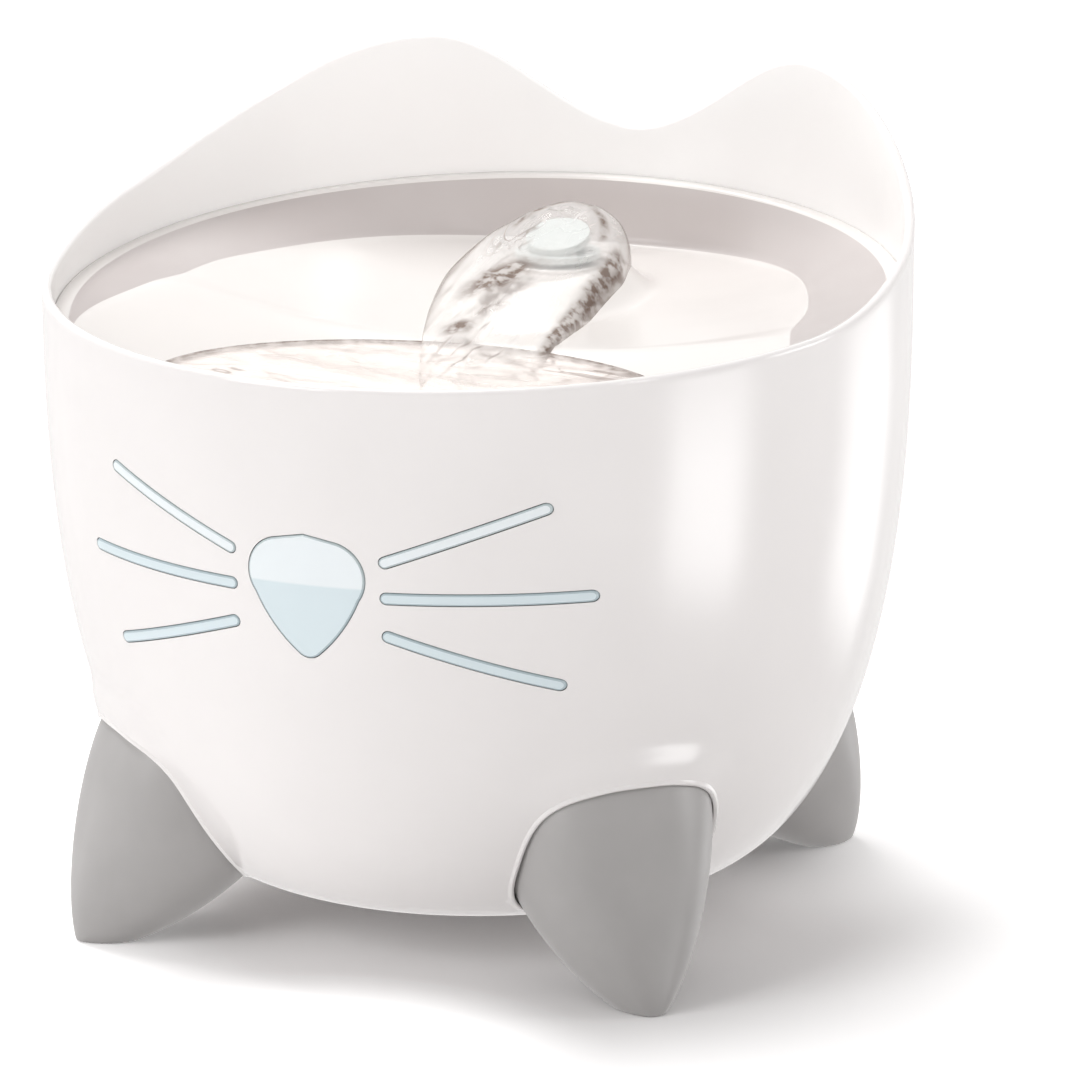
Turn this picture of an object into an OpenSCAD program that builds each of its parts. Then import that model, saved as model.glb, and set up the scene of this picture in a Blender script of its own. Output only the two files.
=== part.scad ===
// Pet water fountain: a round tank with two ears, four feet and clear face windows.
// Inside it hold a drinking dish, a spout, a filter pan and a small submersible pump.
// Frame: origin on the floor under the tank's axis, +Z up, the face looks along -Y.
// Angles named *_angle are measured from the front (-Y) towards +X.

/* [Tank] */
// Outer radius of the tank at its rim
rim_r = 108; // [100:0.5:116]
// Radius of the flat under the belly
belly_r = 52.6; // [46:0.2:60]
// Height of the belly above the floor
base_z = 12.3; // [9:0.1:16]
// Height of the rim at the two sides
rim_z = 162.2; // [155:0.1:172]
// Rise of the rim per millimetre towards the back
rim_slope = 0.061; // [0.04:0.001:0.08]
// How round the belly is along its height
belly_power = 2.5; // [2.2:0.1:3]
// How full the belly is across its width
belly_fullness = 0.44; // [0.4:0.01:0.5]
// Thickness of the tank's wall
wall = 2.5; // [2:0.1:3]
// Thickness of the tank's floor
floor_t = 3; // [2.5:0.1:4]
// Size of the eased edges of the rim's lip
lip_ease = 0.7; // [0.4:0.1:0.9]

/* [Ears] */
// Angle of each ear's peak
ear_angle = 150; // [146:1:153]
// Height of an ear above the back rise
ear_h = 23.7; // [15:0.1:30]
// Angle that the ear's front flank covers
ear_front = 50; // [40:1:60]
// Height by which the rim rises behind the sides
back_rise = 10; // [5:0.5:14]
// Angle at which the back rise starts
rise_from = 70; // [60:1:80]
// Angle at which the back rise is complete
rise_to = 115; // [100:1:125]

/* [Feet] */
// Angle of the front feet
foot_front_angle = 45.9; // [42:0.1:50]
// Angle of the rear feet
foot_rear_angle = 138; // [134:0.5:142]
// Depth of the middle of the foot's seat inside the belly's outer face
seat_inset = 8; // [6:0.1:10]
// Height of the middle of the seat above the belly
seat_h = 24.2; // [21:0.1:28]
// Slope of the seat's plane, in degrees
seat_tilt = 48; // [44:0.5:52]
// Half length of the seat, up its slope
seat_a = 25.1; // [22:0.1:28]
// Half width of the seat
seat_b = 24.9; // [22:0.1:28]
// Distance from the seat's middle out to the foot's tip
tip_reach = 27; // [23:0.5:30]
// Depth of the tip's point below the floor, which the flat of the foot cuts off
tip_cut = 2; // [1:0.1:3]
// How full the foot is between seat and tip
foot_fullness = 1.37; // [1.2:0.01:1.6]
// Radius of the peg that holds a foot
peg_r = 4; // [3:0.1:5]
// Length of the peg
peg_l = 6; // [5:0.1:8]

/* [Face windows] */
// Height of the nose window's middle
nose_z = 104; // [98:0.5:110]
// Width of the nose window
nose_w = 30; // [24:0.5:34]
// Height of the nose window
nose_h = 31; // [26:0.5:34]
// Width of a whisker window
whisker_w = 3; // [2.4:0.1:4]
// Distance of the whiskers' inner ends from the middle
whisker_root_x = 19.8; // [19:0.1:22]
// Height of a window's clear face above the tank's face
window_proud = 0.3; // [0:0.1:0.5]
// Width of the flange round a window, inside the tank
window_lip = 1.5; // [1:0.1:2]
// Thickness of that flange
window_lip_t = 1.2; // [1:0.1:2]

/* [Dish] */
// Depth of the dish's edge under the rim, at the sides
dish_drop = 7.1; // [6:0.1:9]
// Rise of the dish's edge per millimetre towards the back
dish_slope = 0.099; // [0.07:0.001:0.11]
// Thickness of the dish's floor and walls
dish_wall = 2; // [1.6:0.1:2.6]
// Thickness of the dish's flange
flange_t = 2; // [1.6:0.1:3]
// Width of the dish's flange
flange_w = 3; // [2.6:0.1:4.4]
// Depth of the pool's surface under the edge, at the middle
pool_drop = 13.6; // [12:0.1:15]
// Depth of the pool
bowl_depth = 11; // [8:0.5:12]
// Half width of the pool
bowl_half_w = 67; // [60:1:74]
// Half length of the pool
bowl_half_l = 49; // [44:1:54]
// Distance from the dish's edge to the front of the pool
bowl_front_gap = 11; // [9:0.5:14]
// Rise of the slide per millimetre towards the back
slide_slope = 0.06; // [0.04:0.01:0.08]
// Height by which the slide's sides rise at the dish's edge
trough_rise = 19.5; // [15:0.5:21]
// Height of the mound that carries the spout
mound_h = 8; // [6:0.5:10]
// Half width of the mound
mound_half_w = 26; // [22:1:30]
// Number of overflow slots
drain_count = 11; // [7:2:15]
// Width of an overflow slot
drain_w = 2.5; // [1.6:0.1:3]

/* [Spout] */
// Distance of the spout and riser behind the tank's axis
spout_y = 53; // [50:0.5:55]
// Radius of the spout's cap
cap_r = 8.2; // [7.4:0.1:9]
// Thickness of the cap
cap_t = 2; // [1.5:0.1:2.5]
// Tilt of the cap towards the front, in degrees
cap_tilt = 19; // [12:1:21]
// Radius of the bore through the spout
spout_bore_r = 4.2; // [3.5:0.1:4.6]
// Radius of the spout's flange
spout_flange_r = 11; // [10.4:0.1:12]

/* [Filter] */
// Gap between the filter pan and the tank's upper wall
pan_side_gap = 6; // [6:0.5:9]
// Gap between the pool's underside and the pan's floor
pan_gap = 11.3; // [9:0.1:13]
// Depth of the pan
pan_depth = 10; // [6:0.5:11]
// Thickness of the pan's walls
pan_wall = 2; // [1.6:0.1:2.6]
// Half width of the cartridge pocket
pocket_half_w = 44; // [38:1:50]
// Length of the cartridge pocket
pocket_l = 72; // [60:1:74]
// Depth of the cartridge pocket
pocket_depth = 13; // [13:0.5:18]
// Thickness of the resin bed
resin_t = 3.2; // [2:0.1:4]
// Thickness of the carbon bed
carbon_t = 3.5; // [2:0.1:4]
// Thickness of the foam pad
foam_t = 4; // [3:0.1:5]

/* [Pump] */
// Width of the pump
pump_w = 40; // [38:0.5:44]
// Height of the pump's housing
pump_h = 30; // [29:0.5:34]
// Length of the motor end
motor_l = 40; // [38:0.5:42]
// Length of the impeller chamber
chamber_l = 12; // [11:0.5:13]
// Radius of the impeller chamber
chamber_r = 13; // [12.5:0.1:13.4]
// Radius of the impeller
impeller_r = 11.5; // [10:0.1:12]
// Number of impeller vanes
vane_count = 6; // [4:1:8]
// Radius of the rotor's magnet
magnet_r = 7.2; // [6:0.1:7.4]
// Radius of the impeller shaft
shaft_r = 1.5; // [1.2:0.1:2]
// Outer radius of the outlet pipe
outlet_r = 6; // [5.4:0.1:6.4]
// Height of a suction cup
cup_h = 6; // [5:0.5:8]
// Radius of a suction cup
cup_r = 5.5; // [4.5:0.1:5.8]
// Outer radius of the riser tube
riser_r = 8; // [7.6:0.1:8.6]

/* [Cord gland] */
// Height of the cord gland
gland_z = 133; // [130:0.5:136]
// Radius of the bore that takes a cord
gland_bore_r = 2; // [1.5:0.1:2.5]

/* [Hidden] */

$fn = 96;
eps = 0.01;
far = 300;

// Clearances
fit = 0.1;
slide_fit = 0.3;
lift_gap = 0.3;
shaft_fit = 0.05;

// Tank
floor_z = base_z + floor_t;
profile_steps = 28;
rim_inner_r = rim_r - wall;
rise_at_back = back_rise;
ear_back = 180 - ear_angle;
ear_top_z = rim_z + rim_slope * rim_r + back_rise + ear_h + 5;
rim_steps = 120;

// Feet
foot_points = 32;
foot_rings = 9;
seat_power = 0.78;
hip_margin = 1.06;
hip_rise = 22;
hip_lean = 6;
hip_share = 0.6;
hip_rings = 7;
seat_pad_t = 3;
seat_skirt = 14;
boss_wall = 2.5;
socket_l = peg_l + 0.5;

// Windows: the nose's top arc stops at nose_brow from level on each side
nose_brow = 75;
// Each whisker is its inner end's height, then its outer end's place, from the middle
whisker_rows = [
    ["top", 9.9, 55.4, 23.3],
    ["middle", 1, 63.9, 1.3],
    ["bottom", -8.6, 56.4, -20.8],
];

// Dish
dish_r = rim_inner_r - lift_gap;
dish_mid_z = rim_z - dish_drop;
dish_tilt = atan(dish_slope);
flange_inner_r = dish_r - flange_w;
side_top_t = 1.3;
seat_ring_r = flange_inner_r + side_top_t + lift_gap + fit;
seat_ring_t = 2.5;
pool_z = dish_mid_z - pool_drop;
bowl_bottom_z = pool_z - bowl_depth;
bowl_y = bowl_front_gap + bowl_half_l - dish_r;
shore_y = bowl_y + bowl_half_l;
mound_y = spout_y + 2;
mound_front = 42;
mound_back = 26;
mound_flank = 0.5;
dish_steps = 72;
dish_rings = 12;
side_w = 23.2;
shore_step = 0.8;
basin_r_side = dish_r - side_w;
basin_r_front = flange_inner_r - shore_step;
basin_r_back = flange_inner_r - 1;
front_to = 94;
front_span = 30;
back_from = 124;
back_span = 36;
drain_span = 60;
drain_l = 7;

// Spout
boss_r = spout_flange_r + 1;
boss_land = 0.5;
boss_top_z = pool_z + slide_slope * (spout_y - shore_y) + mound_h + boss_land;
boss_bottom_z = boss_top_z - mound_h - boss_land - 3.5;
spout_stub_r = outlet_r + fit - slide_fit;
spout_stub_l = 24.5;
spout_flange_t = 1.5;
seal_r = 0.9;
seal_gap = 0.1;
seal_ring_r = spout_stub_r + 2.6;
cap_z = boss_top_z + 7;
post_r = 1.1;

// Filter
pan_floor_z = bowl_bottom_z - dish_wall - pan_gap;
pan_rim_z = pan_floor_z + pan_depth;
pan_base_z = pan_floor_z - pan_wall;
pocket_gap = 11;
pocket_back_y = spout_y - riser_r - pocket_gap;
pocket_front_y = pocket_back_y - pocket_l;
pocket_floor_z = pan_floor_z - pocket_depth;
pan_r = rim_inner_r - pan_side_gap;
collar_r = riser_r + 1.5;
collar_top_z = pan_rim_z - 1;
rib_angles = [54, 118];
rib_t = 3;
rib_reach = 4;
rib_h = 26;
grille_t = 1.8;
grille_lap = 3;
grip_t = 2;
grip_l = 16;
grip_h = 4;
slot_edge = 4;
slot_bar = 1.5;
frame_wall = 2;
frame_floor_t = 1.2;

// Pump
riser_bore_r = outlet_r + fit;
chamber_y0 = spout_y - chamber_l / 2;
chamber_y1 = chamber_y0 + chamber_l;
motor_y0 = chamber_y0 - motor_l;
pump_z0 = floor_z + cup_h;
pump_z1 = pump_z0 + pump_h;
axis_z = pump_z0 + pump_h / 2;
pump_wall = 2.5;
pump_corner_r = 5;
well_r = magnet_r + 0.8;
well_wall = 1.4;
well_l = 20;
well_y0 = chamber_y0 - well_l;
bush_r = 3.5;
bush_l = 3.5;
bush_y0 = well_y0 - bush_l;
sleeve_r = shaft_r + 1.5;
disc_gap = 0.6;
disc_t = 1.2;
vane_t = 1.2;
vane_room = 3.5;
rotor_gap = 0.5;
sleeve_room = 1;
shaft_in_bush = 2;
end_plate_t = 2;
outlet_h = 11;
outlet_bore_r = outlet_r - 2;
cover_t = 3.5;
cover_w = 34;
cover_h = 22;
arm_l = 6;
core_t = 5.5;
core_half_h = 7;
yoke_y0 = motor_y0 + 4;
yoke_t = 5;
coil_t = 3;
cup_x = 14;
cup_y0 = motor_y0 + 9;
cup_y1 = chamber_y0 - 7;
cup_neck_r = 2;
cup_neck_l = 2.5;

// Cord gland
gland_flange_r = 7.5;
gland_body_r = 5;
gland_flange_t = 1.2;
gland_pad_t = 3;

// ---------- Functions ----------

function smooth(t) = let (u = max(0, min(1, t))) u * u * (3 - 2 * u);
function sgnpow(v, p) = sign(v) * pow(abs(v), p);

function polar(r, a, z) = [r * sin(a), -r * cos(a), z];

// Outer radius of the belly at a height
function belly_at(z) =
    let (f = max(0, min(1, (z - base_z) / (rim_z - base_z))))
    belly_r + (rim_r - belly_r) * pow(1 - pow(1 - f, belly_power), belly_fullness);

// Height of the rim at an angle from the front
function rim_at(angle) =
    let (a = abs(angle))
    let (flank = a < ear_angle ? (a - ear_angle + ear_front) / ear_front : (180 - a) / ear_back)
    rim_z - rim_slope * rim_r * cos(a)
    + back_rise * smooth((a - rise_from) / (rise_to - rise_from))
    + ear_h * (1 - cos(180 * max(0, min(1, flank)))) / 2;

// Height of the dish's edge plane
function edge_at(y) = dish_mid_z + dish_slope * y;

// Radius at which the dish's wall meets its floor
function basin_r_at(angle) =
    let (a = abs(angle))
    basin_r_side + (basin_r_front - basin_r_side) * smooth((front_to - a) / front_span)
    + (basin_r_back - basin_r_side) * smooth((a - back_from) / back_span);

// Height of the dish's floor: a trough that slides to the pool, with the spout's mound
function dish_floor_at(x, y) =
    let (slide = pool_z + slide_slope * max(0, y - shore_y) + trough_rise * pow(x / dish_r, 2))
    let (oval = pow(x / bowl_half_w, 2) + pow((y - bowl_y) / bowl_half_l, 2))
    let (reach = y < mound_y ? mound_front : mound_back)
    let (away = sqrt(pow(x / mound_half_w, 2) + pow((y - mound_y) / reach, 2)))
    min(slide, pool_z + bowl_depth * (oval - 1), edge_at(y) - shore_step)
    + mound_h * smooth((1 - away) / mound_flank);

// A point of a foot's or hip's ring: x is sideways, -y is outwards
function seat_point(phi, scale, r, z) =
    let (along = scale * seat_a * sgnpow(cos(phi), seat_power))
    [scale * seat_b * sgnpow(sin(phi), seat_power), -r - along * cos(seat_tilt), z + along * sin(seat_tilt)];
function seat_ring(scale, r, z) =
    [for (i = [0:foot_points - 1]) seat_point(360 * i / foot_points, scale, r, z)];

seat_z = base_z + seat_h;
seat_r = belly_at(seat_z) - seat_inset;
tip_r = seat_r + tip_reach;

// ---------- Shape helpers ----------

// A closed skin through rings of equal length, each above the last
module loft(rings) {
    n = len(rings[0]);
    last = (len(rings) - 1) * n;
    sides = [for (j = [0:len(rings) - 2], i = [0:n - 1]) each [
        [j * n + i, (j + 1) * n + i, (j + 1) * n + (i + 1) % n],
        [j * n + i, (j + 1) * n + (i + 1) % n, j * n + (i + 1) % n],
    ]];
    first_cap = [for (i = [0:n - 1]) i];
    last_cap = [for (i = [n - 1:-1:0]) last + i];
    polyhedron(points = [for (ring = rings) each ring], faces = concat([first_cap], sides, [last_cap]));
}

// A closed skin through rings between two poles
module poled_loft(rings, first_pole, last_pole) {
    n = len(rings[0]);
    count = len(rings) * n;
    sides = [for (j = [0:len(rings) - 2], i = [0:n - 1]) each [
        [j * n + i, (j + 1) * n + i, (j + 1) * n + (i + 1) % n],
        [j * n + i, (j + 1) * n + (i + 1) % n, j * n + (i + 1) % n],
    ]];
    first_fan = [for (i = [0:n - 1]) [count, i, (i + 1) % n]];
    last_fan = [for (i = [0:n - 1]) [count + 1, count - n + (i + 1) % n, count - n + i]];
    polyhedron(
        points = concat([for (ring = rings) each ring], [first_pole, last_pole]),
        faces = concat(first_fan, sides, last_fan)
    );
}

// A closed skin through sections that run once round the tank
module closed_loft(sections) {
    n = len(sections[0]);
    count = len(sections);
    polyhedron(
        points = [for (section = sections) each section],
        faces = [for (j = [0:count - 1], i = [0:n - 1])
            let (k = (j + 1) % count, m = (i + 1) % n)
            each [[j * n + i, j * n + m, k * n + m], [j * n + i, k * n + m, k * n + i]]]
    );
}

module tube(outer, inner, z0, z1) {
    translate([0, 0, z0])
        difference() {
            cylinder(r = outer, h = z1 - z0);
            translate([0, 0, -eps])
                cylinder(r = inner, h = z1 - z0 + 2 * eps);
        }
}

// A cylinder along +Y from y0 to y1, at the pump's axis height
module rod_y(r, y0, y1) {
    translate([0, y0, axis_z])
        rotate([-90, 0, 0])
            cylinder(r = r, h = y1 - y0);
}

module box(low, high) {
    translate(low)
        cube(high - low);
}

module rounded_square(w, h, r) {
    square([w, h - 2 * r], center = true);
    square([w - 2 * r, h], center = true);
    for (sx = [-1, 1], sy = [-1, 1])
        translate([sx * (w / 2 - r), sy * (h / 2 - r)])
            circle(r = r);
}

// Moves a part drawn for the front to its angle round the tank
module at_angle(angle) {
    rotate([0, 0, angle])
        children();
}

// ---------- Tank ----------

// The belly and rim as one solid, grown outwards by grow and lifted by lift
module belly_solid(grow, lift) {
    steps = [for (i = [0:profile_steps]) 1 - cos(90 * i / profile_steps)];
    curve = [for (s = steps) let (z = base_z + s * (rim_z - base_z)) [belly_at(z) + grow, z + lift]];
    rotate_extrude()
        polygon(concat([[0, base_z + lift]], curve, [[rim_r + grow, ear_top_z + lift], [0, ear_top_z + lift]]));
}

// A shell between an outer face and one that lies inner_grow from the belly's inner face
module belly_band(outer_grow, outer_lift, inner_grow) {
    difference() {
        belly_solid(outer_grow, outer_lift);
        belly_solid(inner_grow, floor_t);
    }
}

// A ring over the wall, whose lower face is the wavy edge of rim and ears
module above_rim() {
    reach = 3;
    r0 = rim_inner_r - reach;
    r1 = rim_r + reach;
    low = reach + lip_ease;
    top = ear_top_z + reach;
    sections = [for (i = [0:rim_steps - 1])
        let (a = 360 * i / rim_steps, z = rim_at(a > 180 ? a - 360 : a))
        [
            polar(r1, a, z - low), polar(r1, a, top), polar(r0, a, top), polar(r0, a, z - low),
            polar(rim_inner_r + lip_ease, a, z), polar(rim_r - lip_ease, a, z),
        ]];
    closed_loft(sections);
}

module seat_prism(scale, low, high) {
    outline = [for (i = [0:foot_points - 1]) let (phi = 360 * i / foot_points)
        scale * [seat_b * sgnpow(sin(phi), seat_power), seat_a * sgnpow(cos(phi), seat_power)]];
    on_seat()
        translate([0, 0, low])
            linear_extrude(height = high - low)
                polygon(outline);
}

// Puts local +Z on the seat's normal, into the tank, and local +Y up its slope
module on_seat() {
    translate([0, -seat_r, seat_z])
        rotate([180 - seat_tilt, 0, 0])
            mirror([0, 0, 1])
                children();
}

// The swelling of the tank's side over a foot
module hip() {
    loft([for (j = [0:hip_rings])
        let (q = hip_share * j / hip_rings)
        seat_ring(hip_margin * sqrt(1 - q * q), seat_r + q * hip_lean, seat_z + q * hip_rise)]);
}

module seat_cuts() {
    for (angle = [foot_front_angle, -foot_front_angle, foot_rear_angle, -foot_rear_angle])
        at_angle(angle) {
            seat_prism(1, -seat_skirt - 10, 0);
            on_seat()
                cylinder(r = peg_r + fit, h = socket_l);
        }
}

module seat_pads() {
    for (angle = [foot_front_angle, -foot_front_angle, foot_rear_angle, -foot_rear_angle])
        at_angle(angle)
            intersection() {
                union() {
                    seat_prism(hip_margin, -seat_skirt, seat_pad_t);
                    on_seat()
                        cylinder(r = peg_r + boss_wall, h = socket_l + boss_wall);
                }
                belly_solid(-wall / 2, 0);
            }
}

module pan_ribs() {
    for (side = [-1, 1], a = rib_angles)
        at_angle(side * a)
            intersection() {
                translate([-rib_t / 2, 0, 0])
                    rotate([90, 0, 90])
                        linear_extrude(height = rib_t)
                            polygon([
                                [-pan_r + rib_reach, pan_base_z - fit / 2], [-rim_r, pan_base_z - fit / 2],
                                [-rim_r, pan_base_z - rib_h], [-pan_r - 1, pan_base_z - rib_h],
                                [-pan_r + rib_reach, pan_base_z - 4],
                            ]);
                belly_solid(-wall / 2, 0);
            }
}

// The tilted ledge that the dish's flange rests on
module dish_ledge() {
    intersection() {
        translate([0, 0, dish_mid_z - flange_t - lift_gap / 3])
            rotate([dish_tilt, 0, 0])
                translate([-far / 2, -far / 2, -seat_ring_t])
                    cube([far, far, seat_ring_t]);
        tube(rim_r - wall / 2, seat_ring_r, floor_z, ear_top_z);
    }
}

// The straight bore over the ledge that the dish's flange slides in
module dish_bore() {
    intersection() {
        translate([0, 0, dish_mid_z - flange_t - lift_gap / 3])
            rotate([dish_tilt, 0, 0])
                translate([-far / 2, -far / 2, 0])
                    cube([far, far, far]);
        translate([0, 0, floor_z])
            cylinder(r = rim_inner_r, h = far);
    }
}

module gland_place() {
    translate([0, belly_at(gland_z), gland_z])
        rotate([90, 0, 0])
            children();
}

module tank_shell() {
    color("white")
        difference() {
            union() {
                difference() {
                    union() {
                        belly_solid(0, 0);
                        for (angle = [foot_front_angle, -foot_front_angle, foot_rear_angle, -foot_rear_angle])
                            at_angle(angle)
                                hip();
                    }
                    belly_solid(-wall, floor_t);
                }
                seat_pads();
                pan_ribs();
                dish_ledge();
                gland_place()
                    translate([0, 0, wall / 2])
                        cylinder(r = gland_flange_r + 1.5, h = wall / 2 + gland_pad_t);
            }
            above_rim();
            dish_bore();
            seat_cuts();
            window_cut(fit)
                nose_outline();
            for (side = [-1, 1], row = whisker_rows)
                window_cut(fit)
                    whisker_outline(side, row);
            gland_place() {
                translate([0, 0, -2])
                    cylinder(r = gland_flange_r + fit, h = gland_flange_t + 2);
                cylinder(r = gland_body_r + fit, h = far / 10);
            }
        }
}

// ---------- Face windows ----------

// The nose, as seen from the front: three long arcs with round corners
module nose_outline(grow = 0) {
    w = nose_w / 2 + grow;
    top = nose_h / 2 + grow;
    bottom = -nose_h / 2 - grow;
    n = 12;
    corner = 0.3 * nose_w + grow;
    tip = 0.13 * nose_w + grow;
    corner_x = w - corner;
    corner_y = top - corner - 0.04 * nose_h;
    side = atan2(corner_x, corner_y - (bottom + tip));
    lean = asin((corner - tip) / norm([corner_x, corner_y - (bottom + tip)]));
    low = -side - lean;
    translate([0, nose_z])
        polygon(concat(
            [for (i = [0:n]) let (a = low + (nose_brow - low) * i / n)
                [corner_x + corner * cos(a), corner_y + corner * sin(a)]],
            [[0, top]],
            [for (i = [0:n]) let (a = 180 - nose_brow + (nose_brow - low) * i / n)
                [-corner_x + corner * cos(a), corner_y + corner * sin(a)]],
            [for (i = [0:n]) let (a = 180 - low + (180 + 2 * low) * i / n) [tip * cos(a), bottom + tip + tip * sin(a)]]
        ));
}

// One whisker, as seen from the front
module whisker_outline(side, row, grow = 0) {
    root = [whisker_root_x, row[1]];
    tip = [row[2], row[3]];
    run = tip - root;
    r = whisker_w / 2 + grow;
    translate([0, nose_z])
        mirror([side < 0 ? 1 : 0, 0])
            translate(root)
                rotate(atan2(run[1], run[0])) {
                    translate([0, -r])
                        square([norm(run), 2 * r]);
                    circle(r = r);
                    translate([norm(run), 0])
                        circle(r = r);
                }
}

module front_prism() {
    translate([0, -belly_r, 0])
        rotate([90, 0, 0])
            linear_extrude(height = rim_r)
                children();
}

module window_cut(gap) {
    front_prism()
        children();
}

module window_pane(side, row) {
    intersection() {
        belly_band(window_proud, 0, -wall - window_lip_t);
        front_prism()
            if (row == undef) nose_outline(-fit);
            else whisker_outline(side, row, -fit);
    }
    intersection() {
        belly_band(-wall - fit, floor_t, -wall - window_lip_t);
        front_prism()
            if (row == undef) nose_outline(window_lip);
            else whisker_outline(side, row, window_lip);
    }
}

module nose_window() {
    color("lightblue")
        window_pane(1, undef);
}

module whisker_window(side, index) {
    color("lightblue")
        window_pane(side, whisker_rows[index]);
}

// ---------- Feet ----------

module foot() {
    color("darkgray")
        intersection() {
            union() {
                loft([for (j = [foot_rings:-1:0])
                    let (q = 0.995 * sin(90 * j / foot_rings))
                    let (s = pow(1 - pow(q, foot_fullness), 1 / foot_fullness))
                    seat_ring(s * (1 - fit / seat_b), seat_r + q * tip_reach, seat_z - q * (seat_z + tip_cut))]);
                on_seat()
                    translate([0, 0, -2])
                        cylinder(r = peg_r, h = peg_l + 2);
            }
            translate([-rim_r, -2 * rim_r, 0])
                cube([2 * rim_r, 2 * rim_r, rim_z]);
        }
}

// ---------- Cord gland ----------

module cord_gland() {
    color("dimgray")
        gland_place() {
            inner_z = wall + gland_pad_t;
            difference() {
                union() {
                    cylinder(r = gland_flange_r, h = gland_flange_t);
                    cylinder(r = gland_body_r, h = inner_z + 2);
                    translate([0, 0, inner_z + fit])
                        cylinder(r = gland_flange_r - 1, h = 1.5);
                }
                translate([0, 0, -1])
                    cylinder(r = gland_bore_r, h = inner_z + 4);
            }
        }
}

// ---------- Dish and spout ----------

function dish_angle(i) = let (a = 360 * i / dish_steps) a > 180 ? a - 360 : a;

function dish_top_ring(share) = [for (i = [0:dish_steps - 1])
    let (a = dish_angle(i), r = share * basin_r_at(a))
    polar(r, a, dish_floor_at(r * sin(a), -r * cos(a)))];

function dish_bottom_ring(share) = [for (i = [0:dish_steps - 1])
    let (a = dish_angle(i), r = share * basin_r_at(a))
    polar(r + share * (dish_wall - 0.3), a, dish_floor_at(r * sin(a), -r * cos(a)) - dish_wall)];

function dish_edge_ring(r, drop) = [for (i = [0:dish_steps - 1])
    let (a = dish_angle(i))
    polar(r, a, edge_at(-r * cos(a)) - drop)];

module drinking_dish() {
    shares = [for (k = [1:dish_rings]) k / dish_rings];
    rings = concat(
        [for (s = shares) dish_bottom_ring(s)],
        [dish_edge_ring(flange_inner_r + side_top_t, flange_t), dish_edge_ring(dish_r, flange_t)],
        [dish_edge_ring(dish_r, 0), dish_edge_ring(flange_inner_r, 0)],
        [for (k = [dish_rings - 1:-1:0]) dish_top_ring(shares[k])]
    );
    middle_z = dish_floor_at(0, 0);
    color("whitesmoke")
        difference() {
            union() {
                poled_loft(rings, [0, 0, middle_z - dish_wall], [0, 0, middle_z]);
                translate([0, spout_y, boss_bottom_z])
                    cylinder(r = boss_r, h = boss_top_z - boss_bottom_z);
            }
            translate([0, spout_y, boss_bottom_z - 1])
                cylinder(r = spout_stub_r + slide_fit, h = far / 4);
            for (i = [0:drain_count - 1])
                at_angle(drain_span * (i / (drain_count - 1) - 0.5))
                    translate([-drain_w / 2, -flange_inner_r, pool_z - bowl_depth])
                        cube([drain_w, drain_l, far / 4]);
        }
}

module spout_nozzle() {
    flange_z = boss_top_z + seal_gap + 2 * seal_r - 0.6;
    color("gainsboro")
        translate([0, spout_y, 0]) {
            difference() {
                union() {
                    translate([0, 0, boss_top_z - spout_stub_l])
                        cylinder(r = spout_stub_r, h = spout_stub_l + 2);
                    translate([0, 0, flange_z])
                        cylinder(r = spout_flange_r, h = spout_flange_t);
                }
                translate([0, 0, boss_top_z - spout_stub_l - 1])
                    cylinder(r = spout_bore_r, h = far / 4);
                translate([0, 0, flange_z - seal_r])
                    tube(seal_ring_r + seal_r + fit, seal_ring_r - seal_r - fit, 0, seal_r + 0.6 + eps);
            }
            translate([0, 0, cap_z])
                rotate([cap_tilt, 0, 0])
                    translate([0, 0, -cap_t])
                        cylinder(r = cap_r, h = cap_t);
            difference() {
                for (a = [60, 180, 300])
                    rotate([0, 0, a])
                        translate([0, cap_r - 2.2, flange_z])
                            cylinder(r = post_r, h = cap_z - flange_z + 4);
                translate([0, 0, cap_z])
                    rotate([cap_tilt, 0, 0])
                        translate([-far / 2, -far / 2, -cap_t / 2])
                            cube([far, far, far]);
            }
        }
}

module spout_seal() {
    color("dimgray")
        translate([0, spout_y, boss_top_z + seal_gap + seal_r])
            rotate_extrude()
                translate([seal_ring_r, 0])
                    circle(r = seal_r);
}

// ---------- Filter ----------

module slots(w, l, count, z0, z1) {
    pitch = w / count;
    slot_w = pitch * 0.45;
    for (i = [0:count - 1], row = [0, 1])
        translate([-w / 2 + (i + 0.5) * pitch - slot_w / 2, row * (l / 2 + slot_bar), z0])
            cube([slot_w, l / 2 - slot_bar, z1 - z0]);
}

module filter_pan() {
    color("whitesmoke")
        difference() {
            union() {
                difference() {
                    translate([0, 0, pan_base_z])
                        cylinder(r = pan_r, h = pan_depth + pan_wall);
                    translate([0, 0, pan_floor_z])
                        cylinder(r = pan_r - pan_wall, h = pan_depth + 1);
                }
                box(
                    [-pocket_half_w - pan_wall, pocket_front_y - pan_wall, pocket_floor_z - pan_wall],
                    [pocket_half_w + pan_wall, pocket_back_y + pan_wall, pan_floor_z]
                );
                translate([0, spout_y, 0])
                    tube(collar_r + pan_wall, collar_r, pan_base_z, collar_top_z);
            }
            box(
                [-pocket_half_w, pocket_front_y, pocket_floor_z],
                [pocket_half_w, pocket_back_y, pan_floor_z + 1]
            );
            translate([0, pocket_front_y, 0])
                slots(2 * (pocket_half_w - slot_edge), pocket_l, 12, pocket_floor_z - pan_wall - 1, pocket_floor_z + 1);
            translate([0, spout_y, 0])
                cylinder(r = collar_r, h = far / 2);
        }
}

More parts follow.
